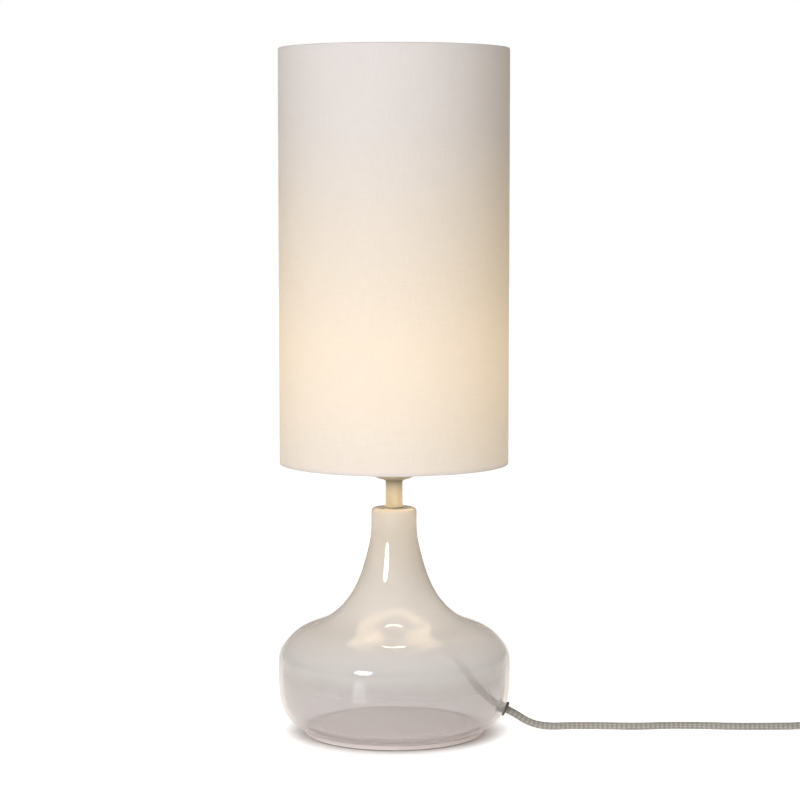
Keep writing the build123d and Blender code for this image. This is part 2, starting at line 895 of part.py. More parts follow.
def bulb_screw_cap():
    """The threaded metal cap, as a thin cup with a rounded thread outline inside its fit."""
    inner = cap_radius - cap_wall - 0.9
    thread_depth = 0.8
    turns = 6
    pitch = (cap_height - 4) / turns
    outline = [(cap_insulator_top_radius - 1.0, cap_bottom), (cap_radius - thread_depth, cap_bottom)]
    for turn in range(turns):
        base = cap_bottom + 0.8 + turn * pitch
        outline.append((cap_radius - thread_depth, base))
        outline.append((cap_radius - 0.15, base + pitch * 0.28))
        outline.append((cap_radius, base + pitch * 0.42))
        outline.append((cap_radius, base + pitch * 0.52))
        outline.append((cap_radius - 0.15, base + pitch * 0.66))
    outline.append((cap_radius - thread_depth, cap_bottom + 0.8 + turns * pitch))
    outline.append((cap_radius, cap_top))
    outline.append((inner, cap_top))
    outline.append((inner, cap_bottom + 1.0))
    outline.append((cap_insulator_top_radius - 1.0, cap_bottom + 1.0))
    return turned(outline)


def bulb_cap_insulator():
    """The dark glass cone between the cap and the tip."""
    bottom = tip_bottom + tip_height
    return turned(
        (
            (0, bottom),
            (tip_radius, bottom),
            (cap_insulator_top_radius - 1.2, cap_bottom - 1.2),
            (cap_insulator_top_radius - 1.2, cap_bottom - 0.05),
            (0, cap_bottom - 0.05),
        )
    )


def bulb_tip_contact():
    return turned(
        (
            (0, tip_bottom),
            (tip_radius * 0.6, tip_bottom),
            (tip_radius, tip_bottom + tip_height * 0.6),
            (tip_radius, tip_bottom + tip_height - 0.05),
            (0, tip_bottom + tip_height - 0.05),
        )
    )


def at_switch(shape):
    """Places what is drawn about the switch's middle, on the table."""
    return Pos(switch_x, switch_y, 0) * shape


def switch_block(inset, bottom, top):
    """The switch's rounded outline, drawn in by a wall, between two heights."""
    outline = RectangleRounded(
        switch_length - 2 * inset, switch_width - 2 * inset, switch_corner - inset
    )
    return Pos(0, 0, bottom) * extrude(outline, top - bottom)


def lead_channel():
    return Pos(0, 0, switch_mid_z) * Rot(0, 90, 0) * Cylinder(cord_radius + cord_fit, switch_length + 2)


def switch_base():
    shell = switch_block(0, 0, switch_mid_z)
    shell = fillet(shell.faces().sort_by(Axis.Z)[0].edges(), switch_edge_round)
    shell -= switch_block(switch_wall, switch_wall, switch_mid_z)
    for side in (-1, 1):
        boss = Pos(side * switch_screw_offset, 0, switch_wall) * Cylinder(
            switch_boss_radius,
            3.0,
            align=(Align.CENTER, Align.CENTER, Align.MIN),
        )
        shell += boss
    for side in (-1, 1):
        shell -= Pos(side * switch_screw_offset, 0, 0) * Cylinder(switch_screw_radius + 0.1, 30)
        shell -= Pos(side * switch_screw_offset, 0, 0) * Cylinder(
            switch_screw_head_radius + 0.2, 2 * (switch_screw_inset + switch_screw_head)
        )
    return at_switch(shell - lead_channel())


def rocker_opening(height):
    return Box(
        rocker_length + 2 * rocker_gap,
        rocker_width + 2 * rocker_side_gap,
        height,
    )


def switch_cover():
    shell = switch_block(0, switch_mid_z, switch_height)
    shell = fillet(shell.faces().sort_by(Axis.Z)[-1].edges(), switch_edge_round)
    shell -= switch_block(switch_wall, switch_mid_z, switch_height - switch_wall)
    shell -= Pos(0, 0, switch_height) * rocker_opening(3 * switch_wall)
    ear_y = rocker_width / 2 + rocker_side_gap
    for side in (-1, 1):
        ear = Pos(0, side * (ear_y + rocker_ear_thickness / 2), switch_height - switch_wall) * Box(
            rocker_ear_length,
            rocker_ear_thickness,
            rocker_ear_drop,
            align=(Align.CENTER, Align.CENTER, Align.MAX),
        )
        shell += ear
        boss_height = switch_height - switch_wall - switch_mid_z - cord_radius - 1.0
        boss = Pos(side * switch_screw_offset, 0, switch_height - switch_wall) * Cylinder(
            switch_boss_radius, boss_height, align=(Align.CENTER, Align.CENTER, Align.MAX)
        )
        shell += boss
        shell -= Pos(side * switch_screw_offset, 0, switch_mid_z) * Cylinder(
            switch_screw_radius + 0.02, 2 * (switch_screw_length + 1.0 - switch_mid_z + 2.0)
        )
    pin_hole = Pos(0, 0, rocker_pivot_z) * Rot(90, 0, 0) * Cylinder(
        rocker_pin_radius, 2 * (ear_y + rocker_ear_thickness)
    )
    return at_switch(shell - pin_hole - lead_channel())


def rocker_pin():
    reach = rocker_width + 2 * rocker_side_gap + 2 * rocker_ear_thickness
    pin = Pos(0, 0, rocker_pivot_z) * Rot(90, 0, 0) * Cylinder(rocker_pin_radius, reach)
    return at_switch(pin)


def tilted(shape):
    """Turns a piece about the rocker's pin to the switched-on side."""
    return Pos(0, 0, rocker_pivot_z) * Rot(0, -rocker_tilt, 0) * shape


def switch_rocker():
    """A shallow V-topped key on its pin, drawn level and then tilted to on."""
    half = rocker_length / 2
    key = Polyline(
        (-half + 2.2, 0, -rocker_drop),
        (half - 2.2, 0, -rocker_drop),
        (half, 0, 0),
        (half, 0, rocker_rise),
        (0, 0, rocker_rise - rocker_dip),
        (-half, 0, rocker_rise),
        (-half, 0, 0),
        close=True,
    )
    body = extrude(make_face(key), rocker_width / 2, both=True, dir=(0, 1, 0))
    body -= Rot(90, 0, 0) * Cylinder(rocker_pin_radius + rocker_pin_fit, rocker_width + 2)
    return at_switch(tilted(body))


def switch_contact_bridge():
    """The spring strip under the rocker that joins the two fixed contacts."""
    strip = Pos(0, 0, -rocker_drop) * Box(
        bridge_length, bridge_width, bridge_thickness, align=(Align.CENTER, Align.CENTER, Align.MAX)
    )
    return at_switch(tilted(strip))


def switch_contacts():
    """Two brass blocks on the floor of the base that hold the cut core's ends."""
    blocks = []
    for side in (-1, 1):
        block = Pos(side * fixed_contact_offset, 0, switch_wall) * Box(
            fixed_contact_length,
            fixed_contact_width,
            fixed_contact_height,
            align=(Align.CENTER, Align.CENTER, Align.MIN),
        )
        blocks.append(at_switch(block))
    return Compound(children=blocks)


def cord_clamps():
    """A bar across the lead just inside each end of the switch."""
    bars = []
    for side in (-1, 1):
        top = switch_mid_z + cord_radius + cord_fit
        bar = Pos(side * clamp_offset, 0, top) * Box(
            clamp_length, clamp_width, clamp_thickness, align=(Align.CENTER, Align.CENTER, Align.MIN)
        )
        bars.append(at_switch(bar))
    return Compound(children=bars)


def switch_screws():
    """Two pan-head screws from below that hold the halves together."""
    screws = []
    for side in (-1, 1):
        head = Pos(0, 0, switch_screw_inset) * Cylinder(
            switch_screw_head_radius, switch_screw_head, align=(Align.CENTER, Align.CENTER, Align.MIN)
        )
        shank = Pos(0, 0, switch_screw_inset + switch_screw_head) * Cylinder(
            switch_screw_radius - 0.05, switch_screw_length, align=(Align.CENTER, Align.CENTER, Align.MIN)
        )
        slot = Pos(0, 0, switch_screw_inset) * Box(3 * switch_screw_head_radius, 0.7, switch_screw_head)
        screws.append(at_switch(Pos(side * switch_screw_offset, 0, 0) * (head + shank - slot)))
    return Compound(children=screws)


def switch_sleeves():
    """A tapered rubber sleeve round the lead at each end of the switch."""
    sleeves = []
    for side in (-1, 1):
        cone = Cone(
            switch_sleeve_radius,
            switch_sleeve_tip_radius,
            switch_sleeve_length,
            align=(Align.CENTER, Align.CENTER, Align.MIN),
        )
        cone -= Cylinder(
            cord_radius + cord_fit, switch_sleeve_length, align=(Align.CENTER, Align.CENTER, Align.MIN)
        )
        placed = Pos(side * switch_length / 2, 0, switch_mid_z) * Rot(0, side * 90, 0) * cone
        sleeves.append(at_switch(placed))
    return Compound(children=sleeves)


def at_plug(shape):
    """Places what is drawn along +X from the tip of the plug's strain relief."""
    return Pos(plug_tip_x, plug_y, plug_mid_z) * shape


def plug_relief():
    """A ribbed rubber tail round the lead, moulded on the plug."""
    step = plug_relief_length / plug_relief_grooves
    outline = [(cord_radius + cord_fit, 0, 0), (plug_relief_tip_radius, 0, 0)]
    for groove in range(plug_relief_grooves):
        share = (groove + 0.5) / plug_relief_grooves
        radius = plug_relief_tip_radius + share * (plug_relief_radius - plug_relief_tip_radius)
        base = groove * step
        outline.append((radius, 0, base + step * 0.55))
        outline.append((radius - plug_relief_groove, 0, base + step * 0.6))
        outline.append((radius - plug_relief_groove, 0, base + step * 0.85))
        outline.append((radius, 0, base + step * 0.9))
    outline.append((plug_relief_radius, 0, plug_relief_length))
    outline.append((cord_radius + cord_fit, 0, plug_relief_length))
    tail = revolve(make_face(Polyline(*outline, close=True)), Axis.Z)
    return at_plug(Rot(0, 90, 0) * tail)


def plug_body():
    """The moulded flat body: a wide nose for the pins, tapering to the tail."""
    tail = Plane.YZ * RectangleRounded(plug_tail_width, plug_tail_height, 4.0)
    nose = Plane.YZ * RectangleRounded(plug_width, plug_height, 5.5)
    taper = loft([tail, Pos(plug_length - plug_nose_length, 0, 0) * nose])
    block = extrude(Pos(plug_length - plug_nose_length, 0, 0) * nose, plug_nose_length, dir=(1, 0, 0))
    block = fillet(block.faces().sort_by(Axis.X)[-1].edges(), plug_edge_round)
    body = taper + block
    for side in (-1, 1):
        body -= Pos(plug_length, side * pin_spacing / 2, 0) * Rot(0, 90, 0) * Cylinder(
            pin_sleeve_radius + pin_sleeve_fit, 2 * pin_inside
        )
    return at_plug(Pos(plug_relief_length, 0, 0) * body)


def plug_pins():
    """Two round pins, thinner where the insulating sleeve covers them."""
    pins = []
    sleeve_end = pin_inside + pin_sleeve_length
    for side in (-1, 1):
        shank = Cylinder(pin_core_radius, sleeve_end, align=(Align.CENTER, Align.CENTER, Align.MIN))
        tip = Pos(0, 0, sleeve_end) * Cylinder(
            pin_radius, pin_length - pin_sleeve_length, align=(Align.CENTER, Align.CENTER, Align.MIN)
        )
        tip = fillet(tip.edges().sort_by(Axis.Z)[-1], pin_tip_round)
        pin = shank + tip
        start_x = plug_relief_length + plug_length - pin_inside
        pins.append(at_plug(Pos(start_x, side * pin_spacing / 2, 0) * Rot(0, 90, 0) * pin))
    return Compound(children=pins)


def pin_sleeves():
    """The plastic sleeves on the inner part of each pin."""
    sleeves = []
    length = pin_inside + pin_sleeve_length
    for side in (-1, 1):
        tube = Cylinder(pin_sleeve_radius, length, align=(Align.CENTER, Align.CENTER, Align.MIN))
        tube -= Cylinder(pin_core_radius + 0.02, length, align=(Align.CENTER, Align.CENTER, Align.MIN))
        start_x = plug_relief_length + plug_length - pin_inside
        sleeves.append(at_plug(Pos(start_x, side * pin_spacing / 2, 0) * Rot(0, 90, 0) * tube))
    return Compound(children=sleeves)


pieces = (
    felt_pad,
    base_plate,
    base_seal,
    glass_body,
    cord_grommet,
    inner_cord,
    neck_washer_lower,
    steel_washer,
    lock_nut,
    threaded_tube,
    tube_end_bush,
    neck_washer_upper,
    stem_sleeve,
    holder_cap,
    holder_insert,
    wire_cores,
    centre_contact,
    side_contact,
    terminal_screws,
    screw_shell,
    holder_body,
    fitter_hub,
    fitter_spokes,
    bottom_wire_ring,
    top_wire_ring,
    shade_liner,
    shade_fabric,
    shade_ring,
    bulb_tip_contact,
    bulb_cap_insulator,
    bulb_screw_cap,
    bulb_stem,
    bulb_filaments,
    bulb_envelope,
    cord_to_switch,
    switch_sleeves,
    switch_base,
    switch_contacts,
    cord_clamps,
    switch_screws,
    switch_cover,
    rocker_pin,
    switch_rocker,
    switch_contact_bridge,
    cord_to_coil,
    cord_coil,
    coil_tie,
    cord_to_plug,
    plug_relief,
    plug_body,
    plug_pins,
    pin_sleeves,
)

os.makedirs("parts", exist_ok=True)
for piece in pieces:
    export_step(piece(), f"parts/{piece.__name__}.step")
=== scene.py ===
import math

import bmesh
import bpy
import numpy as np
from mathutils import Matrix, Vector


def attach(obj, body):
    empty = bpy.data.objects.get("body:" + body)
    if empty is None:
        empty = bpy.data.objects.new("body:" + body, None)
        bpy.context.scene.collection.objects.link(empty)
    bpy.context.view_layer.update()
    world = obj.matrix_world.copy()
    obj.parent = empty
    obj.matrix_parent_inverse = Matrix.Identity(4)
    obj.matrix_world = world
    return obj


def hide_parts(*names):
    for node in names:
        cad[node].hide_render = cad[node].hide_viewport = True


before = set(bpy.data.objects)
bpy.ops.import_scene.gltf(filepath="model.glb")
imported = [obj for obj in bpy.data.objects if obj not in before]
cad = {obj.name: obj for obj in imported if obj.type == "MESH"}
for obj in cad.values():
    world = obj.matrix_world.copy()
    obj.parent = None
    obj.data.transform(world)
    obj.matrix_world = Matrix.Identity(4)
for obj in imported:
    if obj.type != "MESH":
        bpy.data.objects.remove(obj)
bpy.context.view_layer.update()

scene = bpy.context.scene

# The view: a long lens two metres in front of the lamp, level with the middle of the shade
# and tipped five degrees down, so that both rims of the shade show as thin ellipses.
camera_distance = 2.165
camera_height = 0.4857
camera_tip = math.radians(5.069)
lens = bpy.data.cameras.new("camera")
lens.lens = 112.14
lens.sensor_width = 36.0
camera = bpy.data.objects.new("camera", lens)
camera.location = (0.0052, -camera_distance, camera_height)
camera.rotation_euler = (math.pi / 2 - camera_tip, 0.0, 0.0)
scene.collection.objects.link(camera)
scene.camera = camera

# The mains lead: two cores in a braided grey textile sleeve, 6.5 mm thick. It leaves the glass
# low on the right, runs along the table to an inline switch, and on to a tied coil and the plug.
# Each stretch follows a smooth spline, and the sleeve's strands stand a tenth of a millimetre proud.
lead_radius = 0.00325
strand_count = 10
strand_pitch = 0.0021
strand_relief = 0.00011
ring_step = 0.00072
ring_sides = 30

glass_exit = (0.09898, 0.0, 0.02004)
switch_entry = (0.400, 0.007, 0.010)
switch_leave = (0.486, 0.007, 0.010)
relief_tip = (0.546, 0.1660, 0.007)

front_route = (
    glass_exit,
    (0.1066, 0.0, 0.01635),
    (0.1194, 0.0018, 0.0073),
    (0.1360, 0.0054, 0.00325),
    (0.1580, 0.0094, 0.00325),
    (0.1870, 0.0083, 0.00325),
    (0.2150, 0.0058, 0.00325),
    (0.2460, 0.0104, 0.00325),
    (0.2730, 0.0092, 0.00325),
    (0.3010, 0.0056, 0.00325),
    (0.3330, 0.0062, 0.00325),
    (0.3580, 0.0070, 0.00325),
    (0.3760, 0.0070, 0.0064),
    (0.3910, 0.0070, 0.0100),
    switch_entry,
)
towards_coil = (
    switch_leave,
    (0.4950, 0.0070, 0.0100),
    (0.5105, 0.0075, 0.0072),
    (0.5284, 0.0172, 0.0042),
    (0.5394, 0.0352, 0.00325),
    (0.5390, 0.0568, 0.00325),
    (0.5280, 0.0752, 0.00325),
    (0.5100, 0.0850, 0.00325),
    (0.4870, 0.0864, 0.00325),
    (0.4630, 0.0858, 0.0036),
)
towards_plug = (
    (0.4710, 0.1749, 0.0103),
    (0.4890, 0.1746, 0.0057),
    (0.5070, 0.1720, 0.00325),
    (0.5230, 0.1682, 0.0042),
    (0.5360, 0.1662, 0.0070),
    relief_tip,
)
inner_route = (
    (0.0, 0.0, 0.2284),
    (0.0, 0.0, 0.146),
    (0.017, 0.0, 0.106),
    (0.055, 0.0, 0.066),
    (0.0799, 0.0, 0.0293),
    glass_exit,
)

coil_centre = (0.445, 0.130)
coil_outer_lane = 0.04469
coil_turns = 5.5
coil_points_each_turn = 20
coil_low = 0.0041
coil_high = 0.0106


def coil_route():
    """Turns wound inwards on the table, then outwards on top of the first ones."""
    steps = int(coil_turns * coil_points_each_turn)
    points = []
    for step in range(steps + 1):
        turns = step / coil_points_each_turn
        inwards = min(turns, coil_turns - turns)
        radius = coil_outer_lane * 1.006 - 2 * lead_radius * inwards
        angle = -math.pi / 2 - 2 * math.pi * turns
        lift = min(max((turns - coil_turns / 2) * 4 + 0.5, 0.0), 1.0)
        lift = lift * lift * (3 - 2 * lift)
        points.append(
            (
                coil_centre[0] + radius * math.cos(angle),
                coil_centre[1] + radius * math.sin(angle),
                coil_low + (coil_high - coil_low) * lift,
            )
        )
    return points


def middle_line(name, route):
    """The smooth line of a stretch of lead, as points read from its own spline."""
    curve = bpy.data.curves.new(name, "CURVE")
    curve.dimensions = "3D"
    spline = curve.splines.new("NURBS")
    spline.points.add(len(route) - 1)
    for point, place in zip(spline.points, route):
        point.co = (*place, 1.0)
    spline.order_u = 3
    spline.use_endpoint_u = True
    spline.resolution_u = 12
    holder = bpy.data.objects.new(name, curve)
    scene.collection.objects.link(holder)
    line = bpy.data.meshes.new_from_object(holder.evaluated_get(bpy.context.evaluated_depsgraph_get()))
    points = np.array([vertex.co for vertex in line.vertices], float)
    bpy.data.objects.remove(holder)
    bpy.data.meshes.remove(line)
    return points


def even_points(points, step):
    """The same line with its points a step apart."""
    reach = np.concatenate([[0.0], np.cumsum(np.linalg.norm(np.diff(points, axis=0), axis=1))])
    count = max(int(round(reach[-1] / step)), 8)
    places = np.linspace(0.0, reach[-1], count + 1)
    return places, np.stack([np.interp(places, reach, points[:, axis]) for axis in range(3)], axis=1)


def braided_lead(name, points):
    """A tube along a line, with the strands' relief and with its length and girth as UV in metres."""
    places, centres = even_points(points, ring_step)
    heading = np.gradient(centres, axis=0)
    heading /= np.linalg.norm(heading, axis=1)[:, None]
    side = np.zeros_like(centres)
    side[0] = np.cross(heading[0], (0.0, 1.0, 0.0) if abs(heading[0][1]) < 0.9 else (1.0, 0.0, 0.0))
    side[0] /= np.linalg.norm(side[0])
    for row in range(1, len(centres)):
        carried = side[row - 1] - heading[row] * np.dot(side[row - 1], heading[row])
        side[row] = carried / np.linalg.norm(carried)
    up = np.cross(heading, side)
    turn = np.arange(ring_sides) / ring_sides
    lane = turn[None, :] * strand_count
    along = places[:, None] / strand_pitch
    right = lane + along / 2
    left = lane - along / 2
    over = np.sin(math.pi * right) * np.sin(math.pi * left)
    radius = lead_radius - strand_relief + strand_relief * 2 * np.abs(over)
    angle = 2 * math.pi * turn
    spread = (
        side[:, None, :] * np.cos(angle)[None, :, None] + up[:, None, :] * np.sin(angle)[None, :, None]
    )
    rings = centres[:, None, :] + spread * radius[:, :, None]
    rows = len(centres)
    vertices = rings.reshape(-1, 3)
    row, column = np.meshgrid(np.arange(rows - 1), np.arange(ring_sides), indexing="ij")
    after = (column + 1) % ring_sides
    quads = np.stack(
        [
            row * ring_sides + column,
            row * ring_sides + after,
            (row + 1) * ring_sides + after,
            (row + 1) * ring_sides + column,
        ],
        axis=-1,
    ).reshape(-1, 4)
    ends = [list(range(ring_sides))[::-1], list(range((rows - 1) * ring_sides, rows * ring_sides))]
    mesh = bpy.data.meshes.new(name)
    mesh.from_pydata(vertices.tolist(), [], quads.tolist() + ends)
    girth = 2 * math.pi * lead_radius
    length_uv = np.stack([places[row], places[row], places[row + 1], places[row + 1]], axis=-1).reshape(-1)
    girth_uv = np.stack(
        [column, column + 1, column + 1, column], axis=-1
    ).reshape(-1) / ring_sides * girth
    uv = np.zeros((len(mesh.loops), 2), np.float32)
    uv[: len(length_uv), 0] = length_uv
    uv[: len(girth_uv), 1] = girth_uv
    layer = mesh.uv_layers.new(name="lead")
    layer.data.foreach_set("uv", uv.ravel())
    mesh.polygons.foreach_set("use_smooth", [True] * len(quads) + [False, False])
    lead = bpy.data.objects.new(name, mesh)
    scene.collection.objects.link(lead)
    return lead


def new_material(name):
    """An empty node material with its shader, ready for its own patterns."""
    material = bpy.data.materials.new(name)
    material.use_nodes = True
    tree = material.node_tree
    return material, tree, tree.nodes["Principled BSDF"]


def node(tree, kind, values=None, **settings):
    """A node with its settings, and its sockets filled by value or by link."""
    made = tree.nodes.new(kind)
    for key, value in settings.items():
        setattr(made, key, value)
    for key, value in (values or {}).items():
        if isinstance(value, bpy.types.NodeSocket):
            tree.links.new(value, made.inputs[key])
        else:
            made.inputs[key].default_value = value
    return made


def math_node(tree, operation, *values):
    """One sum, as the socket that carries its answer."""
    return node(tree, "ShaderNodeMath", dict(enumerate(values)), operation=operation).outputs[0]


def mixed(tree, mask, low, high):
    """A colour mixed by a mask, on the sockets that colours use."""
    made = tree.nodes.new("ShaderNodeMix")
    made.data_type = "RGBA"
    for socket, value in ((0, mask), (6, low), (7, high)):
        if isinstance(value, bpy.types.NodeSocket):
            tree.links.new(value, made.inputs[socket])
        else:
            made.inputs[socket].default_value = value
    return made.outputs[2]


def ranged(tree, value, low, high, start=0.0, end=1.0):
    """A value carried from one range to another, kept inside it."""
    return node(
        tree,
        "ShaderNodeMapRange",
        {"Value": value, "From Min": start, "From Max": end, "To Min": low, "To Max": high},
    ).outputs[0]


def new_group(name, inputs, outputs):
    """A shader node group with named sockets. Inputs are (name, kind, default)."""
    group = bpy.data.node_groups.new(name, "ShaderNodeTree")
    for label, kind, default in inputs:
        socket = group.interface.new_socket(label, in_out="INPUT", socket_type="NodeSocket" + kind)
        if default is not None:
            socket.default_value = default
    for label, kind in outputs:
        group.interface.new_socket(label, in_out="OUTPUT", socket_type="NodeSocket" + kind)
    return group, group.nodes.new("NodeGroupInput"), group.nodes.new("NodeGroupOutput")


def placed_group(tree, group, values):
    """A group put in a material with its own values."""
    made = tree.nodes.new("ShaderNodeGroup")
    made.node_tree = group
    for key, value in values.items():
        if isinstance(value, bpy.types.NodeSocket):
            tree.links.new(value, made.inputs[key])
        else:
            made.inputs[key].default_value = value
    return made


def braid_group():
    """Crossing strands from UV in metres: a tone from strand to strand, and the height of the yarns."""
    group, given, result = new_group(
        "crossing_strands",
        [
            ("Vector", "Vector", None),
            ("Girth", "Float", 0.02),
            ("Strands", "Float", 10.0),
            ("Pitch", "Float", 0.002),
        ],
        [("Tone", "Float"), ("Height", "Float")],
    )
    parts = group.nodes.new("ShaderNodeSeparateXYZ")
    group.links.new(given.outputs["Vector"], parts.inputs[0])
    lane = math_node(
        group,
        "MULTIPLY",
        math_node(group, "DIVIDE", parts.outputs["Y"], given.outputs["Girth"]),
        given.outputs["Strands"],
    )
    along = math_node(
        group, "MULTIPLY", math_node(group, "DIVIDE", parts.outputs["X"], given.outputs["Pitch"]), 0.5
    )
    right = math_node(group, "ADD", lane, along)
    left = math_node(group, "SUBTRACT", lane, along)
    right_wave = math_node(group, "SINE", math_node(group, "MULTIPLY", right, math.pi))
    left_wave = math_node(group, "SINE", math_node(group, "MULTIPLY", left, math.pi))
    crossing = math_node(group, "MULTIPLY", right_wave, left_wave)
    on_top = math_node(group, "GREATER_THAN", crossing, 0.0)
    right_yarn = math_node(group, "SINE", math_node(group, "MULTIPLY", right, 8 * math.pi))
    left_yarn = math_node(group, "SINE", math_node(group, "MULTIPLY", left, 8 * math.pi))
    difference = math_node(group, "SUBTRACT", right_yarn, left_yarn)
    yarn = math_node(group, "ADD", left_yarn, math_node(group, "MULTIPLY", difference, on_top))
    body = math_node(group, "ABSOLUTE", crossing)
    height = math_node(group, "ADD", body, math_node(group, "MULTIPLY", yarn, 0.22))
    fleck = node(
        group, "ShaderNodeTexNoise", {"Vector": given.outputs["Vector"], "Scale": 1400.0, "Detail": 2.0}
    ).outputs["Fac"]
    strand_tone = math_node(group, "ADD", math_node(group, "MULTIPLY", on_top, 0.42), 0.18)
    fleck_tone = math_node(group, "MULTIPLY", math_node(group, "SUBTRACT", fleck, 0.5), 1.1)
    shade = math_node(group, "MULTIPLY", body, 0.35)
    tone = math_node(group, "ADD", math_node(group, "ADD", strand_tone, fleck_tone), shade)
    held = math_node(group, "MINIMUM", math_node(group, "MAXIMUM", tone, 0.0), 1.0)
    group.links.new(held, result.inputs["Tone"])
    group.links.new(height, result.inputs["Height"])
    return group


crossing_strands = braid_group()


def lead_textile():
    material, tree, shader = new_material("braided_textile")
    uv = node(tree, "ShaderNodeUVMap", uv_map="lead").outputs["UV"]
    strands = placed_group(
        tree,
        crossing_strands,
        {
            "Vector": uv,
            "Girth": 2 * math.pi * lead_radius,
            "Strands": float(strand_count),
            "Pitch": strand_pitch,
        },
    )
    colour = mixed(tree, strands.outputs["Tone"], (0.185, 0.182, 0.172, 1.0), (0.66, 0.645, 0.605, 1.0))
    tree.links.new(colour, shader.inputs["Base Color"])
    tree.links.new(ranged(tree, strands.outputs["Tone"], 0.85, 0.55), shader.inputs["Roughness"])
    bump = node(
        tree,
        "ShaderNodeBump",
        {"Height": strands.outputs["Height"], "Strength": 0.6, "Distance": 0.00018},
    )
    tree.links.new(bump.outputs["Normal"], shader.inputs["Normal"])
    shader.inputs["Sheen Weight"].default_value = 0.25
    shader.inputs["Sheen Roughness"].default_value = 0.4
    return material


textile = lead_textile()
front_line = middle_line("front_line", front_route)
coil_line = middle_line("coil_line", (*towards_coil, *coil_route(), *towards_plug))
inner_line = middle_line("inner_line", inner_route)
lead_front = braided_lead("lead_front", front_line)
lead_coiled = braided_lead("lead_coiled", coil_line)
lead_inside = braided_lead("lead_inside", inner_line)
for lead in (lead_front, lead_coiled, lead_inside):
    lead.data.materials.append(textile)
    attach(lead, "lamp_base")
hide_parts("cord_to_switch")
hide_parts("cord_to_coil", "cord_coil", "cord_to_plug")
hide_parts("inner_cord")

# The stage: a plain white table top under plain soft light. One tall soft panel stands front left
# and one wide one high in front; two more are only mirrored, a gleam on the glass from the left
# and a faint one from the table.
floor_half = 9.0
floor_mesh = bpy.data.meshes.new("table_top")
floor_mesh.from_pydata(
    [(x * floor_half, y * floor_half, 0.0) for x, y in ((-1, -1), (1, -1), (1, 1), (-1, 1))],
    [],
    [(0, 1, 2, 3)],
)
floor = bpy.data.objects.new("table_top", floor_mesh)
scene.collection.objects.link(floor)
floor_paint, floor_tree, floor_shader = new_material("white_table_top")
floor_shader.inputs["Base Color"].default_value = (0.93, 0.93, 0.93, 1.0)
floor_shader.inputs["Roughness"].default_value = 0.7
floor_shader.inputs["Specular IOR Level"].default_value = 0.2
# Painted shadow: the table's emission, seen only by the camera, is near black close round the foot and fades
# to white between 80 and 105 mm out, brightening further off; other rays see a dim warm glow.
floor_shader.inputs["Emission Strength"].default_value = 1.0
floor_seen = floor_tree.nodes.new("ShaderNodeLightPath").outputs["Is Camera Ray"]
floor_place = floor_tree.nodes.new("ShaderNodeTexCoord").outputs["Object"]
floor_reach = node(floor_tree, "ShaderNodeVectorMath", {0: floor_place}, operation="LENGTH").outputs["Value"]
painted_shadow_reach = (0.080, 0.105)
table_reach = (0.5, 2.5)
contact_shadow_fade = ranged(floor_tree, floor_reach, 0.0, 1.0, *painted_shadow_reach)
floor_far = ranged(floor_tree, floor_reach, 0.80, 1.05, *table_reach)
floor_shown = mixed(floor_tree, contact_shadow_fade, (0.02, 0.02, 0.02, 1.0), floor_far)
floor_tone = mixed(floor_tree, floor_seen, (0.37, 0.333, 0.296, 1.0), floor_shown)
floor_tree.links.new(floor_tone, floor_shader.inputs["Emission Color"])
floor_mesh.materials.append(floor_paint)

surroundings = bpy.data.worlds.new("white_surroundings")
scene.world = surroundings
surroundings.use_nodes = True
sky_tree = surroundings.node_tree
sky = sky_tree.nodes["Background"]
seen = sky_tree.nodes.new("ShaderNodeLightPath").outputs["Is Camera Ray"]
sky_tone = mixed(sky_tree, seen, (0.20, 0.18, 0.16, 1.0), (1.0, 1.0, 1.0, 1.0))
sky_tree.links.new(sky_tone, sky.inputs["Color"])
scene.view_settings.view_transform = "Standard"


def soft_panel(name, power, size, place, target, colour, lights=True, mirrored=True):
    """A soft oval panel that faces a point. It may only light the lamp, or only be mirrored in it."""
    light = bpy.data.lights.new(name, "AREA")
    light.shape = "ELLIPSE"
    light.size, light.size_y = size
    light.energy = power
    light.color = colour
    panel = bpy.data.objects.new(name, light)
    panel.location = place
    panel.rotation_euler = (Vector(target) - Vector(place)).to_track_quat("-Z", "Y").to_euler()
    panel.visible_diffuse = lights
    panel.visible_glossy = mirrored
    scene.collection.objects.link(panel)
    return panel


cool_white = (0.96, 0.97, 1.0)
plain_white = (0.98, 0.98, 1.0)
lamp_middle = (0.0, 0.0, 0.30)
shade_middle = (0.0, 0.0, 0.4)
far_above = (0.937, 1.352, 60.0)
soft_panel("left_panel", 6.5, (0.66, 1.2), (-1.05, -1.75, 0.80), lamp_middle, cool_white, mirrored=False)
soft_panel("left_gleam", 22.0, (0.60, 0.76), (-1.02, -1.70, 0.92), lamp_middle, cool_white, lights=False)
soft_panel("front_panel", 28.0, (1.4, 1.4), (-0.35, -1.9, 2.0), shade_middle, plain_white, mirrored=False)
soft_panel("table_gleam", 0.16, (0.065, 0.48), (-0.175, -0.31, 0.003), far_above, cool_white, lights=False)


# The foot: a steel plate painted a pinkish grey, with a pressed felt disc under it and a thin bead
# of clear silicone that beds the glass.
def dress(material, *names):
    """Gives CAD pieces their finish."""
    for name in names:
        cad[name].data.materials.clear()
        cad[name].data.materials.append(material)


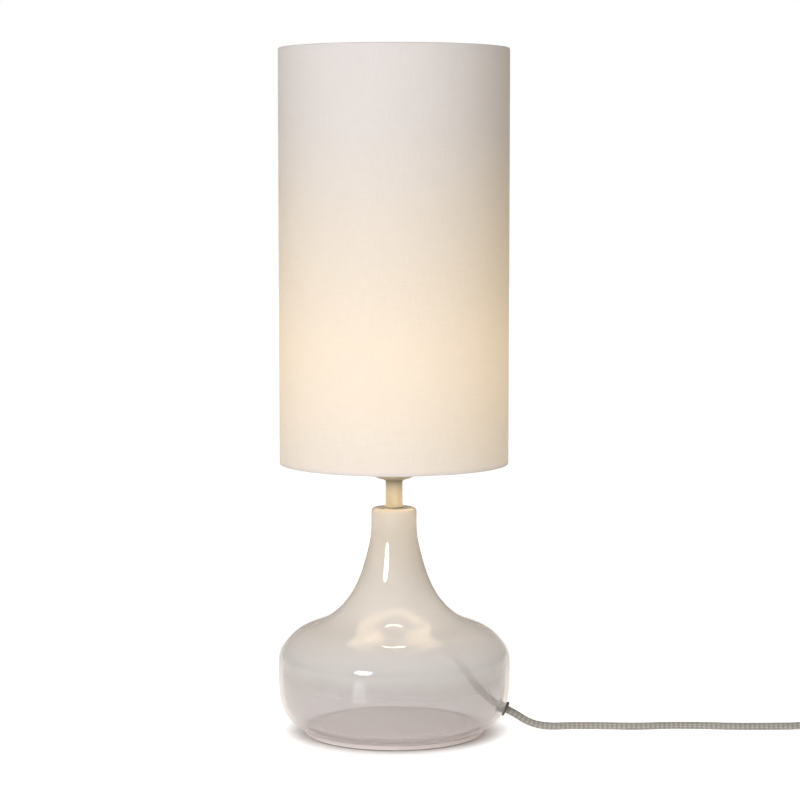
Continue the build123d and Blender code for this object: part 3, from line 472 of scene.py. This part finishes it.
def grain_group():
    """Fine grain from a place on the piece: a broad tone, and a height for its texture."""
    group, given, result = new_group(
        "surface_grain",
        [("Scale", "Float", 800.0), ("Spread", "Float", 40.0), ("Stretch", "Vector", (1.0, 1.0, 1.0))],
        [("Tone", "Float"), ("Height", "Float")],
    )
    place = group.nodes.new("ShaderNodeTexCoord").outputs["Object"]
    drawn = node(
        group, "ShaderNodeVectorMath", {0: place, 1: given.outputs["Stretch"]}, operation="MULTIPLY"
    ).outputs[0]
    fine = node(
        group, "ShaderNodeTexNoise", {"Vector": drawn, "Scale": given.outputs["Scale"], "Detail": 3.0}
    ).outputs["Fac"]
    broad = node(
        group, "ShaderNodeTexNoise", {"Vector": drawn, "Scale": given.outputs["Spread"], "Detail": 4.0}
    ).outputs["Fac"]
    tone = math_node(
        group, "ADD", math_node(group, "MULTIPLY", fine, 0.4), math_node(group, "MULTIPLY", broad, 0.6)
    )
    group.links.new(ranged(group, tone, 0.0, 1.0, 0.3, 0.7), result.inputs["Tone"])
    group.links.new(fine, result.inputs["Height"])
    return group


surface_grain = grain_group()


def grained(
    name, dark, light, rough, scale, spread=40.0, relief=0.00004, stretch=(1.0, 1.0, 1.0), **shader_values
):
    """A finish with its own colour drift, grain and gloss; further shader values go by socket name."""
    material, tree, shader = new_material(name)
    grain = placed_group(tree, surface_grain, {"Scale": scale, "Spread": spread, "Stretch": stretch})
    tree.links.new(
        mixed(tree, grain.outputs["Tone"], (*dark, 1.0), (*light, 1.0)), shader.inputs["Base Color"]
    )
    tree.links.new(ranged(tree, grain.outputs["Tone"], rough[0], rough[1]), shader.inputs["Roughness"])
    bump = node(
        tree, "ShaderNodeBump", {"Height": grain.outputs["Height"], "Strength": 0.5, "Distance": relief}
    )
    tree.links.new(bump.outputs["Normal"], shader.inputs["Normal"])
    for label, value in shader_values.items():
        shader.inputs[label.replace("_", " ")].default_value = value
    return material


dress(
    grained("plate_paint", (0.78, 0.72, 0.725), (0.84, 0.78, 0.785), (0.35, 0.5), 900.0, relief=0.00002),
    "base_plate",
)
dress(
    grained("clear_silicone", (0.78, 0.71, 0.71), (0.84, 0.78, 0.77), (0.25, 0.4), 300.0, Coat_Weight=0.3),
    "base_seal",
)
dress(
    grained(
        "pressed_felt", (0.22, 0.21, 0.20), (0.42, 0.40, 0.38), (0.9, 1.0), 2200.0, 180.0, 0.0003,
        Sheen_Weight=0.6,
    ),
    "felt_pad",
)

# The glass: blown in one piece, opal at the neck and thinning to clear smoke towards the heel,
# polished outside, with painted light on it as a glow by height. The lead's hole low on the right is drilled
# after.
opal_heights = (0.0063, 0.195)


def toned(tree, share, stops):
    """Colours that run from stop to stop along a share of 0 to 1."""
    run = tree.nodes.new("ShaderNodeValToRGB")
    tree.links.new(share, run.inputs[0])
    ends = run.color_ramp.elements
    ends[0].position, ends[0].color = stops[0][0], (*stops[0][1], 1.0)
    ends[1].position, ends[1].color = stops[-1][0], (*stops[-1][1], 1.0)
    for position, shade in stops[1:-1]:
        ends.new(position).color = (*shade, 1.0)
    return run.outputs["Color"]


def blown_glass():
    material, tree, shader = new_material("opal_to_smoke_glass")
    place = tree.nodes.new("ShaderNodeTexCoord").outputs["Object"]
    height = node(tree, "ShaderNodeSeparateXYZ", {0: place}).outputs["Z"]
    drift = node(tree, "ShaderNodeTexNoise", {"Vector": place, "Scale": 14.0, "Detail": 2.0}).outputs["Fac"]
    wavering = math_node(
        tree, "ADD", height, math_node(tree, "MULTIPLY", math_node(tree, "SUBTRACT", drift, 0.5), 0.008)
    )
    share = ranged(tree, wavering, 0.0, 1.0, *opal_heights)
    colour_stops = (
        (0.0, (0.50, 0.46, 0.46)),
        (0.17, (0.50, 0.475, 0.475)),
        (0.26, (0.51, 0.50, 0.49)),
        (0.36, (0.60, 0.59, 0.585)),
        (0.50, (0.56, 0.54, 0.53)),
        (0.75, (0.64, 0.61, 0.575)),
        (1.0, (0.70, 0.67, 0.62)),
    )
    tree.links.new(toned(tree, share, colour_stops), shader.inputs["Base Color"])
    covers = ((0.0, 0.42), (0.22, 0.43), (0.38, 0.66), (0.52, 0.90), (1.0, 0.985))
    cover_stops = [(position, (amount, amount, amount)) for position, amount in covers]
    tree.links.new(toned(tree, share, cover_stops), shader.inputs["Alpha"])
    tree.links.new(ranged(tree, drift, 0.03, 0.07), shader.inputs["Roughness"])
    ripple = node(tree, "ShaderNodeBump", {"Height": drift, "Strength": 0.05, "Distance": 0.002})
    tree.links.new(ripple.outputs["Normal"], shader.inputs["Normal"])
    # Painted light: an emission by height that brightens the glass most at the shoulder, standing in for the
    # bulb's light falling on it.
    painted_light_stops = (
        (0.0, (0.17, 0.150, 0.150)),
        (0.14, (0.15, 0.135, 0.132)),
        (0.26, (0.09, 0.083, 0.080)),
        (0.38, (0.22, 0.205, 0.19)),
        (0.55, (0.25, 0.23, 0.20)),
        (0.75, (0.13, 0.12, 0.10)),
        (1.0, (0.08, 0.07, 0.055)),
    )
    tree.links.new(toned(tree, share, painted_light_stops), shader.inputs["Emission Color"])
    shader.inputs["Emission Strength"].default_value = 1.0
    shader.inputs["IOR"].default_value = 1.52
    shader.inputs["Coat Weight"].default_value = 0.8
    shader.inputs["Coat Roughness"].default_value = 0.02
    shader.inputs["Subsurface Weight"].default_value = 0.0
    return material


dress(blown_glass(), "glass_body")

# The grommet: a soft grey rubber bush in the drilled hole, which keeps the glass off the lead. The
# washer between the glass and the steel one is black rubber.
dress(
    grained("grey_rubber", (0.15, 0.145, 0.14), (0.22, 0.215, 0.21), (0.55, 0.75), 1500.0, 90.0, 0.00006),
    "cord_grommet",
)
dress(
    grained(
        "black_rubber", (0.018, 0.018, 0.018), (0.045, 0.044, 0.043), (0.55, 0.75), 1500.0, 90.0, 0.00006
    ),
    "neck_washer_lower",
)

# The stem's clamp: a zinc plated threaded tube with its nut and washer inside the glass, a plastic
# end bush, and a thin clear washer on top that keeps the painted sleeve off the glass.
zinc = grained(
    "zinc_plate", (0.42, 0.42, 0.41), (0.62, 0.62, 0.60), (0.28, 0.45), 900.0, 160.0, 0.00003,
    (1.0, 1.0, 6.0), Metallic=1.0,
)
dress(zinc, "steel_washer", "lock_nut", "threaded_tube", "terminal_screws", "switch_screws", "rocker_pin")
moulded_white = grained(
    "moulded_white", (0.74, 0.73, 0.70), (0.82, 0.81, 0.78), (0.38, 0.55), 1600.0, 60.0, 0.00002
)
dress(moulded_white, "tube_end_bush", "holder_body", "shade_ring")
dress(
    grained("clear_washer", (0.20, 0.18, 0.15), (0.30, 0.28, 0.24), (0.15, 0.3), 400.0, Coat_Weight=0.5),
    "neck_washer_upper",
)

# The stem sleeve and the lampholder's cup: spun metal, stove painted cream. A painted shadow darkens
# the cream to brown in the corner under the cup.
def cream_paint():
    material = grained(
        "cream_paint", (0.70, 0.62, 0.455), (0.78, 0.70, 0.52), (0.30, 0.42), 1100.0, 30.0, 0.000025,
        Coat_Weight=0.25,
    )
    tree = material.node_tree
    shader = tree.nodes["Principled BSDF"]
    sprayed = shader.inputs["Base Color"].links[0].from_socket
    place = tree.nodes.new("ShaderNodeTexCoord").outputs["Object"]
    height = node(tree, "ShaderNodeSeparateXYZ", {0: place}).outputs["Z"]
    # Painted shadow: the cream is mixed towards dark brown in a band just under the cup, where its shade
    # falls.
    cup_shadow_top = 0.2232
    shadow_rising = ranged(tree, height, 0.0, 1.0, cup_shadow_top - 0.012, cup_shadow_top)
    shadow_falling = ranged(tree, height, 1.0, 0.25, cup_shadow_top, cup_shadow_top + 0.008)
    corner = math_node(tree, "MULTIPLY", math_node(tree, "MULTIPLY", shadow_rising, shadow_rising), shadow_falling)
    tree.links.new(mixed(tree, corner, sprayed, (0.30, 0.255, 0.175, 1.0)), shader.inputs["Base Color"])
    return material


dress(cream_paint(), "stem_sleeve", "holder_cap")

# The lampholder's inside: an insulating disc with brass contacts, two insulated cores and the
# threaded brass shell that takes the bulb's cap.
dress(
    grained("glazed_insulator", (0.72, 0.71, 0.68), (0.84, 0.83, 0.80), (0.25, 0.4), 500.0, Coat_Weight=0.4),
    "holder_insert",
)
dress(
    grained(
        "sheet_brass", (0.52, 0.36, 0.13), (0.68, 0.50, 0.20), (0.25, 0.42), 1400.0, 120.0, 0.00002,
        (1.0, 1.0, 0.2), Metallic=1.0,
    ),
    "centre_contact",
    "side_contact",
    "screw_shell",
    "switch_contacts",
    "switch_contact_bridge",
)
dress(
    grained("core_insulation", (0.04, 0.10, 0.30), (0.07, 0.15, 0.38), (0.3, 0.45), 900.0),
    "wire_cores",
)

# The bulb: a frosted glass globe on a nickel plated screw cap, lit, with light strips round a
# glass mount inside.
lamp_colour = (1.0, 0.80, 0.56, 1.0)
bulb_strength = 11.0
globe_glass = grained(
    "frosted_globe", (0.92, 0.90, 0.85), (0.96, 0.94, 0.90), (0.35, 0.5), 1200.0,
    Emission_Color=lamp_colour, Emission_Strength=bulb_strength,
)
dress(globe_glass, "bulb_envelope")
dress(
    grained(
        "light_strips", (0.95, 0.72, 0.30), (1.0, 0.85, 0.45), (0.5, 0.7), 2500.0,
        Emission_Color=(1.0, 0.74, 0.40, 1.0), Emission_Strength=12.0,
    ),
    "bulb_filaments",
)
clear_glass = grained("mount_glass", (0.88, 0.88, 0.87), (0.93, 0.93, 0.92), (0.05, 0.1), 300.0, Alpha=0.45)
dress(clear_glass, "bulb_stem")
dress(
    grained(
        "nickel_cap", (0.56, 0.55, 0.52), (0.72, 0.71, 0.68), (0.2, 0.34), 1300.0, 110.0, 0.00002,
        (1.0, 1.0, 5.0), Metallic=1.0,
    ),
    "bulb_screw_cap",
)
dress(
    grained("black_vitrite", (0.012, 0.012, 0.016), (0.03, 0.03, 0.036), (0.1, 0.2), 500.0, Coat_Weight=0.6),
    "bulb_cap_insulator",
)
dress(
    grained(
        "dull_solder", (0.38, 0.38, 0.39), (0.52, 0.52, 0.53), (0.4, 0.6), 1800.0, 200.0, 0.00008,
        Metallic=1.0,
    ),
    "bulb_tip_contact",
)

# The shade's frame: a steel hub with four wires welded under it, and a wire ring at each rim, all
# powder coated white. A frosted plastic sheet stands inside the rings and stiffens the cloth.
frame_paint = grained(
    "white_powder_coat", (0.78, 0.78, 0.76), (0.84, 0.84, 0.82), (0.4, 0.55), 1900.0, 70.0, 0.00005
)
dress(frame_paint, "fitter_hub", "fitter_spokes", "bottom_wire_ring", "top_wire_ring")
dress(
    grained("frosted_liner", (0.84, 0.82, 0.78), (0.88, 0.86, 0.82), (0.45, 0.6), 700.0, 25.0, 0.00002),
    "shade_liner",
)

# The shade's cloth: one cut of fine off-white plain weave, 638 by 384 mm, glued round the liner
# with a lapped seam at the back and turned in over both wire rings. The bulb's glow through it is painted on
# as a warm emission by height, dimmer at the turned-in rims, and the cloth's own colour is painted darker
# where that glow is.
shade_radius = 0.1
shade_low = 0.238
shade_high = 0.598
cloth_thickness = 0.0005
seam_lap = 0.010
seam_angle = math.radians(97.0)
hem_depth = 0.004
hem_return = 0.008
columns = 288
side_rows = 48


def shade_profile():
    """The cloth's run from its turned-in lower edge, round the rim, up, and in again at the top."""
    inner = shade_radius - hem_depth
    corner = 0.0014
    low_hem = [(inner, shade_low + up) for up in (hem_return, hem_return / 2, corner)]
    turn_in = [
        (inner + corner * (1 - math.cos(angle)), shade_low + corner * (1 - math.sin(angle)))
        for angle in np.radians((30, 60, 90))
    ]
    turn_out = [
        (shade_radius - corner * (1 - math.sin(angle)), shade_low + corner * (1 - math.cos(angle)))
        for angle in np.radians((0, 30, 60, 90))
    ]
    rise = shade_high - shade_low - 2 * corner
    wall = [
        (shade_radius, shade_low + corner + rise * row / side_rows) for row in range(1, side_rows // 2 + 1)
    ]
    half = low_hem + turn_in + turn_out + wall
    middle = (shade_low + shade_high) / 2
    return half + [(radius, 2 * middle - height) for radius, height in reversed(half[:-1])]


def shade_cloth_mesh():
    profile = np.array(shade_profile())
    runs = np.concatenate([[0.0], np.cumsum(np.linalg.norm(np.diff(profile, axis=0), axis=1))])
    length = 2 * math.pi * shade_radius + seam_lap
    lap_start = 2 * math.pi * shade_radius - 0.003
    mesh = bmesh.new()
    uv_layer = mesh.loops.layers.uv.new("cloth")
    grid = []
    for column in range(columns + 1):
        reach = length * column / columns
        angle = seam_angle + reach / shade_radius
        lift = cloth_thickness * 1.1 * min(max((reach - lap_start) / 0.003, 0.0), 1.0)
        grid.append(
            [
                mesh.verts.new(((radius + lift) * math.cos(angle), (radius + lift) * math.sin(angle), height))
                for radius, height in profile
            ]
        )
    for column in range(columns):
        for row in range(len(profile) - 1):
            face = mesh.faces.new(
                (grid[column][row], grid[column + 1][row], grid[column + 1][row + 1], grid[column][row + 1])
            )
            face.smooth = True
            corners = ((column, row), (column + 1, row), (column + 1, row + 1), (column, row + 1))
            for loop, (across, up) in zip(face.loops, corners):
                loop[uv_layer].uv = (length * across / columns, runs[up])
    made = bpy.data.meshes.new("shade_cloth")
    mesh.to_mesh(made)
    mesh.free()
    return made


def weave_group():
    """Plain weave from UV in metres: the height of the yarns, and the drift of thick and thin ones."""
    group, given, result = new_group(
        "plain_weave",
        [("Vector", "Vector", None), ("Yarn", "Float", 0.0005), ("Slub", "Float", 1.0)],
        [("Tone", "Float"), ("Height", "Float")],
    )
    parts = node(group, "ShaderNodeSeparateXYZ", {0: given.outputs["Vector"]})
    waves = []
    for axis in ("X", "Y"):
        turns = math_node(group, "DIVIDE", parts.outputs[axis], given.outputs["Yarn"])
        waves.append(math_node(group, "SINE", math_node(group, "MULTIPLY", turns, math.pi)))
    height = math_node(group, "MULTIPLY", waves[0], waves[1])
    slubs = []
    for stretch in ((60.0, 1500.0, 0.0), (1500.0, 60.0, 0.0)):
        drawn = node(
            group, "ShaderNodeVectorMath", {0: given.outputs["Vector"], 1: stretch}, operation="MULTIPLY"
        ).outputs[0]
        noise = node(group, "ShaderNodeTexNoise", {"Vector": drawn, "Scale": 1.0, "Detail": 2.0})
        slubs.append(noise.outputs["Fac"])
    drift = math_node(group, "MULTIPLY", math_node(group, "ADD", slubs[0], slubs[1]), 0.5)
    tone = math_node(
        group,
        "ADD",
        0.5,
        math_node(group, "MULTIPLY", math_node(group, "SUBTRACT", drift, 0.5), given.outputs["Slub"]),
    )
    group.links.new(tone, result.inputs["Tone"])
    group.links.new(
        math_node(group, "ADD", height, math_node(group, "MULTIPLY", drift, 1.5)), result.inputs["Height"]
    )
    return group


plain_weave = weave_group()


def lit_cloth():
    material, tree, shader = new_material("lit_shade_cloth")
    uv = node(tree, "ShaderNodeUVMap", uv_map="cloth").outputs["UV"]
    weave = placed_group(tree, plain_weave, {"Vector": uv, "Yarn": 0.00050, "Slub": 1.6})
    tone = weave.outputs["Tone"]
    tree.links.new(ranged(tree, tone, 0.95, 0.8), shader.inputs["Roughness"])
    bump = node(
        tree, "ShaderNodeBump", {"Height": weave.outputs["Height"], "Strength": 0.35, "Distance": 0.00012}
    )
    tree.links.new(bump.outputs["Normal"], shader.inputs["Normal"])
    # Painted light: a warm glow by height, dimmer at the rims, and the cloth's colour painted darker where
    # that glow is.
    place = tree.nodes.new("ShaderNodeTexCoord").outputs["Object"]
    height = node(tree, "ShaderNodeSeparateXYZ", {0: place}).outputs["Z"]
    share = ranged(tree, height, 0.0, 1.0, shade_low, shade_high)
    glow_stops = (
        (0.0, (0.09, 0.065, 0.045)),
        (0.004, (0.12, 0.09, 0.06)),
        (0.010, (0.28, 0.21, 0.125)),
        (0.034, (0.29, 0.22, 0.12)),
        (0.126, (0.35, 0.255, 0.12)),
        (0.22, (0.40, 0.285, 0.13)),
        (0.30, (0.40, 0.28, 0.12)),
        (0.446, (0.27, 0.182, 0.055)),
        (0.63, (0.14, 0.088, 0.010)),
        (0.81, (0.05, 0.03, 0.002)),
        (1.0, (0.03, 0.018, 0.002)),
    )
    glow = toned(tree, share, glow_stops)
    thin = mixed(tree, tone, (0.92, 0.92, 0.92, 1.0), (1.08, 1.08, 1.08, 1.0))
    lit = node(tree, "ShaderNodeVectorMath", {0: glow, 1: thin}, operation="MULTIPLY").outputs[0]
    tree.links.new(lit, shader.inputs["Emission Color"])
    unlit = mixed(tree, tone, (0.72, 0.705, 0.71, 1.0), (0.80, 0.78, 0.78, 1.0))
    backlit = mixed(tree, tone, (0.58, 0.57, 0.58, 1.0), (0.655, 0.64, 0.65, 1.0))
    share_lit = ranged(tree, glow, 0.0, 1.0, 0.0, 0.30)
    tree.links.new(mixed(tree, share_lit, unlit, backlit), shader.inputs["Base Color"])
    shader.inputs["Emission Strength"].default_value = 1.0
    shader.inputs["Sheen Weight"].default_value = 0.15
    return material


shade_cloth = bpy.data.objects.new("shade_cloth", shade_cloth_mesh())
scene.collection.objects.link(shade_cloth)
thickness = shade_cloth.modifiers.new("thickness", "SOLIDIFY")
thickness.thickness = cloth_thickness
thickness.offset = -1.0
shade_cloth.data.materials.append(lit_cloth())
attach(shade_cloth, "shade")
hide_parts("shade_fabric")

# The inline switch: two light grey moulded halves with a spark-eroded texture, held by two screws
# from below, with a glossy rocker on a steel pin and a soft tapered sleeve at each end.
dress(
    grained("switch_case", (0.66, 0.66, 0.65), (0.74, 0.74, 0.73), (0.45, 0.6), 2600.0, 60.0, 0.00006),
    "switch_base",
    "switch_cover",
    "cord_clamps",
    "switch_sleeves",
)
dress(
    grained("switch_key", (0.78, 0.78, 0.77), (0.84, 0.84, 0.83), (0.2, 0.3), 900.0, 40.0, 0.000015),
    "switch_rocker",
)

# The coil's tie: a black hook-and-loop strap once round all the turns, lapped on top and sewn with
# a row of grey thread along each edge.
tie_angle = math.radians(155.0)
tie_middle = Vector((coil_centre[0], coil_centre[1], 0.00735))
tie_outwards = Vector((math.cos(tie_angle), math.sin(tie_angle), 0.0))
tie_across = Vector((-math.sin(tie_angle), math.cos(tie_angle), 0.0))
tie_middle += tie_outwards * 0.03575
tie_half_width = 0.01304
tie_half_height = 0.00735
tie_corner = 0.00325
dress(
    grained(
        "loop_strap", (0.012, 0.012, 0.013), (0.05, 0.05, 0.054), (0.85, 1.0), 3200.0, 300.0, 0.00035,
        Sheen_Weight=0.4,
    ),
    "coil_tie",
)


def tie_place(along, up, across):
    """A place on the strap's section, as far along, up and across as given."""
    return tie_middle + tie_outwards * along + Vector((0.0, 0.0, up)) + tie_across * across


def tie_run(lift):
    """The strap's outer line over the turns, from one side to the other, lifted off its face."""
    reach = tie_half_width + lift
    top = tie_half_height + lift
    corner = tie_corner + lift
    bends = [
        (corner * math.cos(angle), corner * math.sin(angle)) for angle in np.radians(np.linspace(0, 90, 7))
    ]
    right = [(reach - corner + x, top - corner + y) for x, y in bends]
    low = -tie_half_height + tie_corner
    return [(reach, low)] + right + [(-along, up) for along, up in reversed(right)] + [(-reach, low)]


def thread_tree():
    """Stitches on lines: a rounded bar of thread at every step, turned along the line."""
    tree = bpy.data.node_groups.new("thread_stitches", "GeometryNodeTree")
    tree.interface.new_socket("Geometry", in_out="INPUT", socket_type="NodeSocketGeometry")
    for label in ("Step", "Length", "Thread"):
        tree.interface.new_socket(label, in_out="INPUT", socket_type="NodeSocketFloat")
    tree.interface.new_socket("Material", in_out="INPUT", socket_type="NodeSocketMaterial")
    tree.interface.new_socket("Geometry", in_out="OUTPUT", socket_type="NodeSocketGeometry")
    given = tree.nodes.new("NodeGroupInput").outputs
    line = node(tree, "GeometryNodeMeshToCurve", {"Mesh": given["Geometry"]}).outputs["Curve"]
    stations = node(
        tree, "GeometryNodeCurveToPoints", {"Curve": line, "Length": given["Step"]}, mode="LENGTH"
    )
    bead = node(tree, "GeometryNodeMeshUVSphere", {"Segments": 10, "Rings": 8, "Radius": 1.0}).outputs["Mesh"]
    half = math_node(tree, "MULTIPLY", given["Length"], 0.5)
    thread = given["Thread"]
    size = node(tree, "ShaderNodeCombineXYZ", {"X": half, "Y": thread, "Z": thread}).outputs[0]
    stitch = node(tree, "GeometryNodeTransform", {"Geometry": bead, "Scale": size}).outputs["Geometry"]
    heading = node(
        tree, "FunctionNodeAlignRotationToVector", {"Vector": stations.outputs["Tangent"]}, axis="X"
    ).outputs["Rotation"]
    placed = node(
        tree,
        "GeometryNodeInstanceOnPoints",
        {"Points": stations.outputs["Points"], "Instance": stitch, "Rotation": heading},
    ).outputs["Instances"]
    real = node(tree, "GeometryNodeRealizeInstances", {"Geometry": placed}).outputs["Geometry"]
    smooth = node(tree, "GeometryNodeSetShadeSmooth", {"Geometry": real}).outputs["Geometry"]
    dressed = node(tree, "GeometryNodeSetMaterial", {"Geometry": smooth, "Material": given["Material"]})
    result = tree.nodes.new("NodeGroupOutput")
    tree.links.new(dressed.outputs["Geometry"], result.inputs["Geometry"])
    return tree


def sewn(name, lines, step, length, thread, material):
    """Stitches along lines, as one plain mesh."""
    path = bpy.data.meshes.new(name)
    points = [point for line in lines for point in line]
    edges = []
    first = 0
    for line in lines:
        edges += [(first + at, first + at + 1) for at in range(len(line) - 1)]
        first += len(line)
    path.from_pydata([tuple(point) for point in points], edges, [])
    guide = bpy.data.objects.new(name + "_guide", path)
    scene.collection.objects.link(guide)
    tree = thread_tree()
    sewing = guide.modifiers.new("stitches", "NODES")
    sewing.node_group = tree
    values = {"Step": step, "Length": length, "Thread": thread, "Material": material}
    for item in tree.interface.items_tree:
        if item.in_out == "INPUT" and item.name in values:
            sewing[item.identifier] = values[item.name]
    ready = guide.evaluated_get(bpy.context.evaluated_depsgraph_get())
    mesh = bpy.data.meshes.new_from_object(ready)
    bpy.data.objects.remove(guide)
    mesh.name = name
    piece = bpy.data.objects.new(name, mesh)
    scene.collection.objects.link(piece)
    return piece


grey_thread = grained(
    "grey_thread", (0.22, 0.22, 0.23), (0.42, 0.42, 0.43), (0.7, 0.9), 5200.0, 900.0, 0.00012
)
stitch_lift = 0.00008
stitch_row = 0.0043
tie_stitches = sewn(
    "tie_stitches",
    [
        [tie_place(along, up, across) for along, up in tie_run(stitch_lift)]
        for across in (-stitch_row, stitch_row)
    ],
    step=0.0021,
    length=0.0016,
    thread=0.00022,
    material=grey_thread,
)
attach(tie_stitches, "lamp_base")



def climb(edge):
    """How far an edge rises from one end to the other."""
    return abs(edge.verts[0].co.z - edge.verts[1].co.z)


lap_start, lap_end, lap_thickness, lap_half = -0.0075, 0.0085, 0.0009, 0.0055
lap_corner = 0.0016
lap_rim = 0.0002
lap_shape = bmesh.new()
bmesh.ops.create_cube(lap_shape, size=1.0)
for corner in lap_shape.verts:
    along = (lap_start + lap_end) / 2 + corner.co.x * (lap_end - lap_start)
    up = tie_half_height + lap_thickness / 2 + corner.co.z * lap_thickness
    corner.co = tie_place(along, up, corner.co.y * 2 * lap_half)
upright = [edge for edge in lap_shape.edges if climb(edge) > lap_thickness / 2]
bmesh.ops.bevel(lap_shape, geom=upright, offset=lap_corner, segments=6, affect="EDGES", profile=0.5)
rims = [edge for edge in lap_shape.edges if climb(edge) < lap_thickness / 4]
bmesh.ops.bevel(lap_shape, geom=rims, offset=lap_rim, segments=3, affect="EDGES", profile=0.5)
bmesh.ops.recalc_face_normals(lap_shape, faces=lap_shape.faces)
lap_mesh = bpy.data.meshes.new("tie_lap")
lap_shape.to_mesh(lap_mesh)
lap_shape.free()
tie_lap = bpy.data.objects.new("tie_lap", lap_mesh)
scene.collection.objects.link(tie_lap)
lap_mesh.materials.append(bpy.data.materials["loop_strap"])
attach(tie_lap, "lamp_base")

# The plug: moulded in one with its ribbed tail, with two nickel plated pins sleeved at their roots.
dress(
    grained("plug_moulding", (0.64, 0.64, 0.63), (0.72, 0.72, 0.71), (0.42, 0.58), 2200.0, 60.0, 0.00005),
    "plug_body",
    "plug_relief",
)
dress(
    grained(
        "nickel_pin", (0.62, 0.61, 0.58), (0.76, 0.75, 0.72), (0.14, 0.26), 1200.0, 100.0, 0.000015,
        (0.2, 1.0, 1.0), Metallic=1.0,
    ),
    "plug_pins",
)
dress(
    grained("pin_sleeve", (0.60, 0.60, 0.59), (0.68, 0.68, 0.67), (0.3, 0.45), 1500.0),
    "pin_sleeves",
)
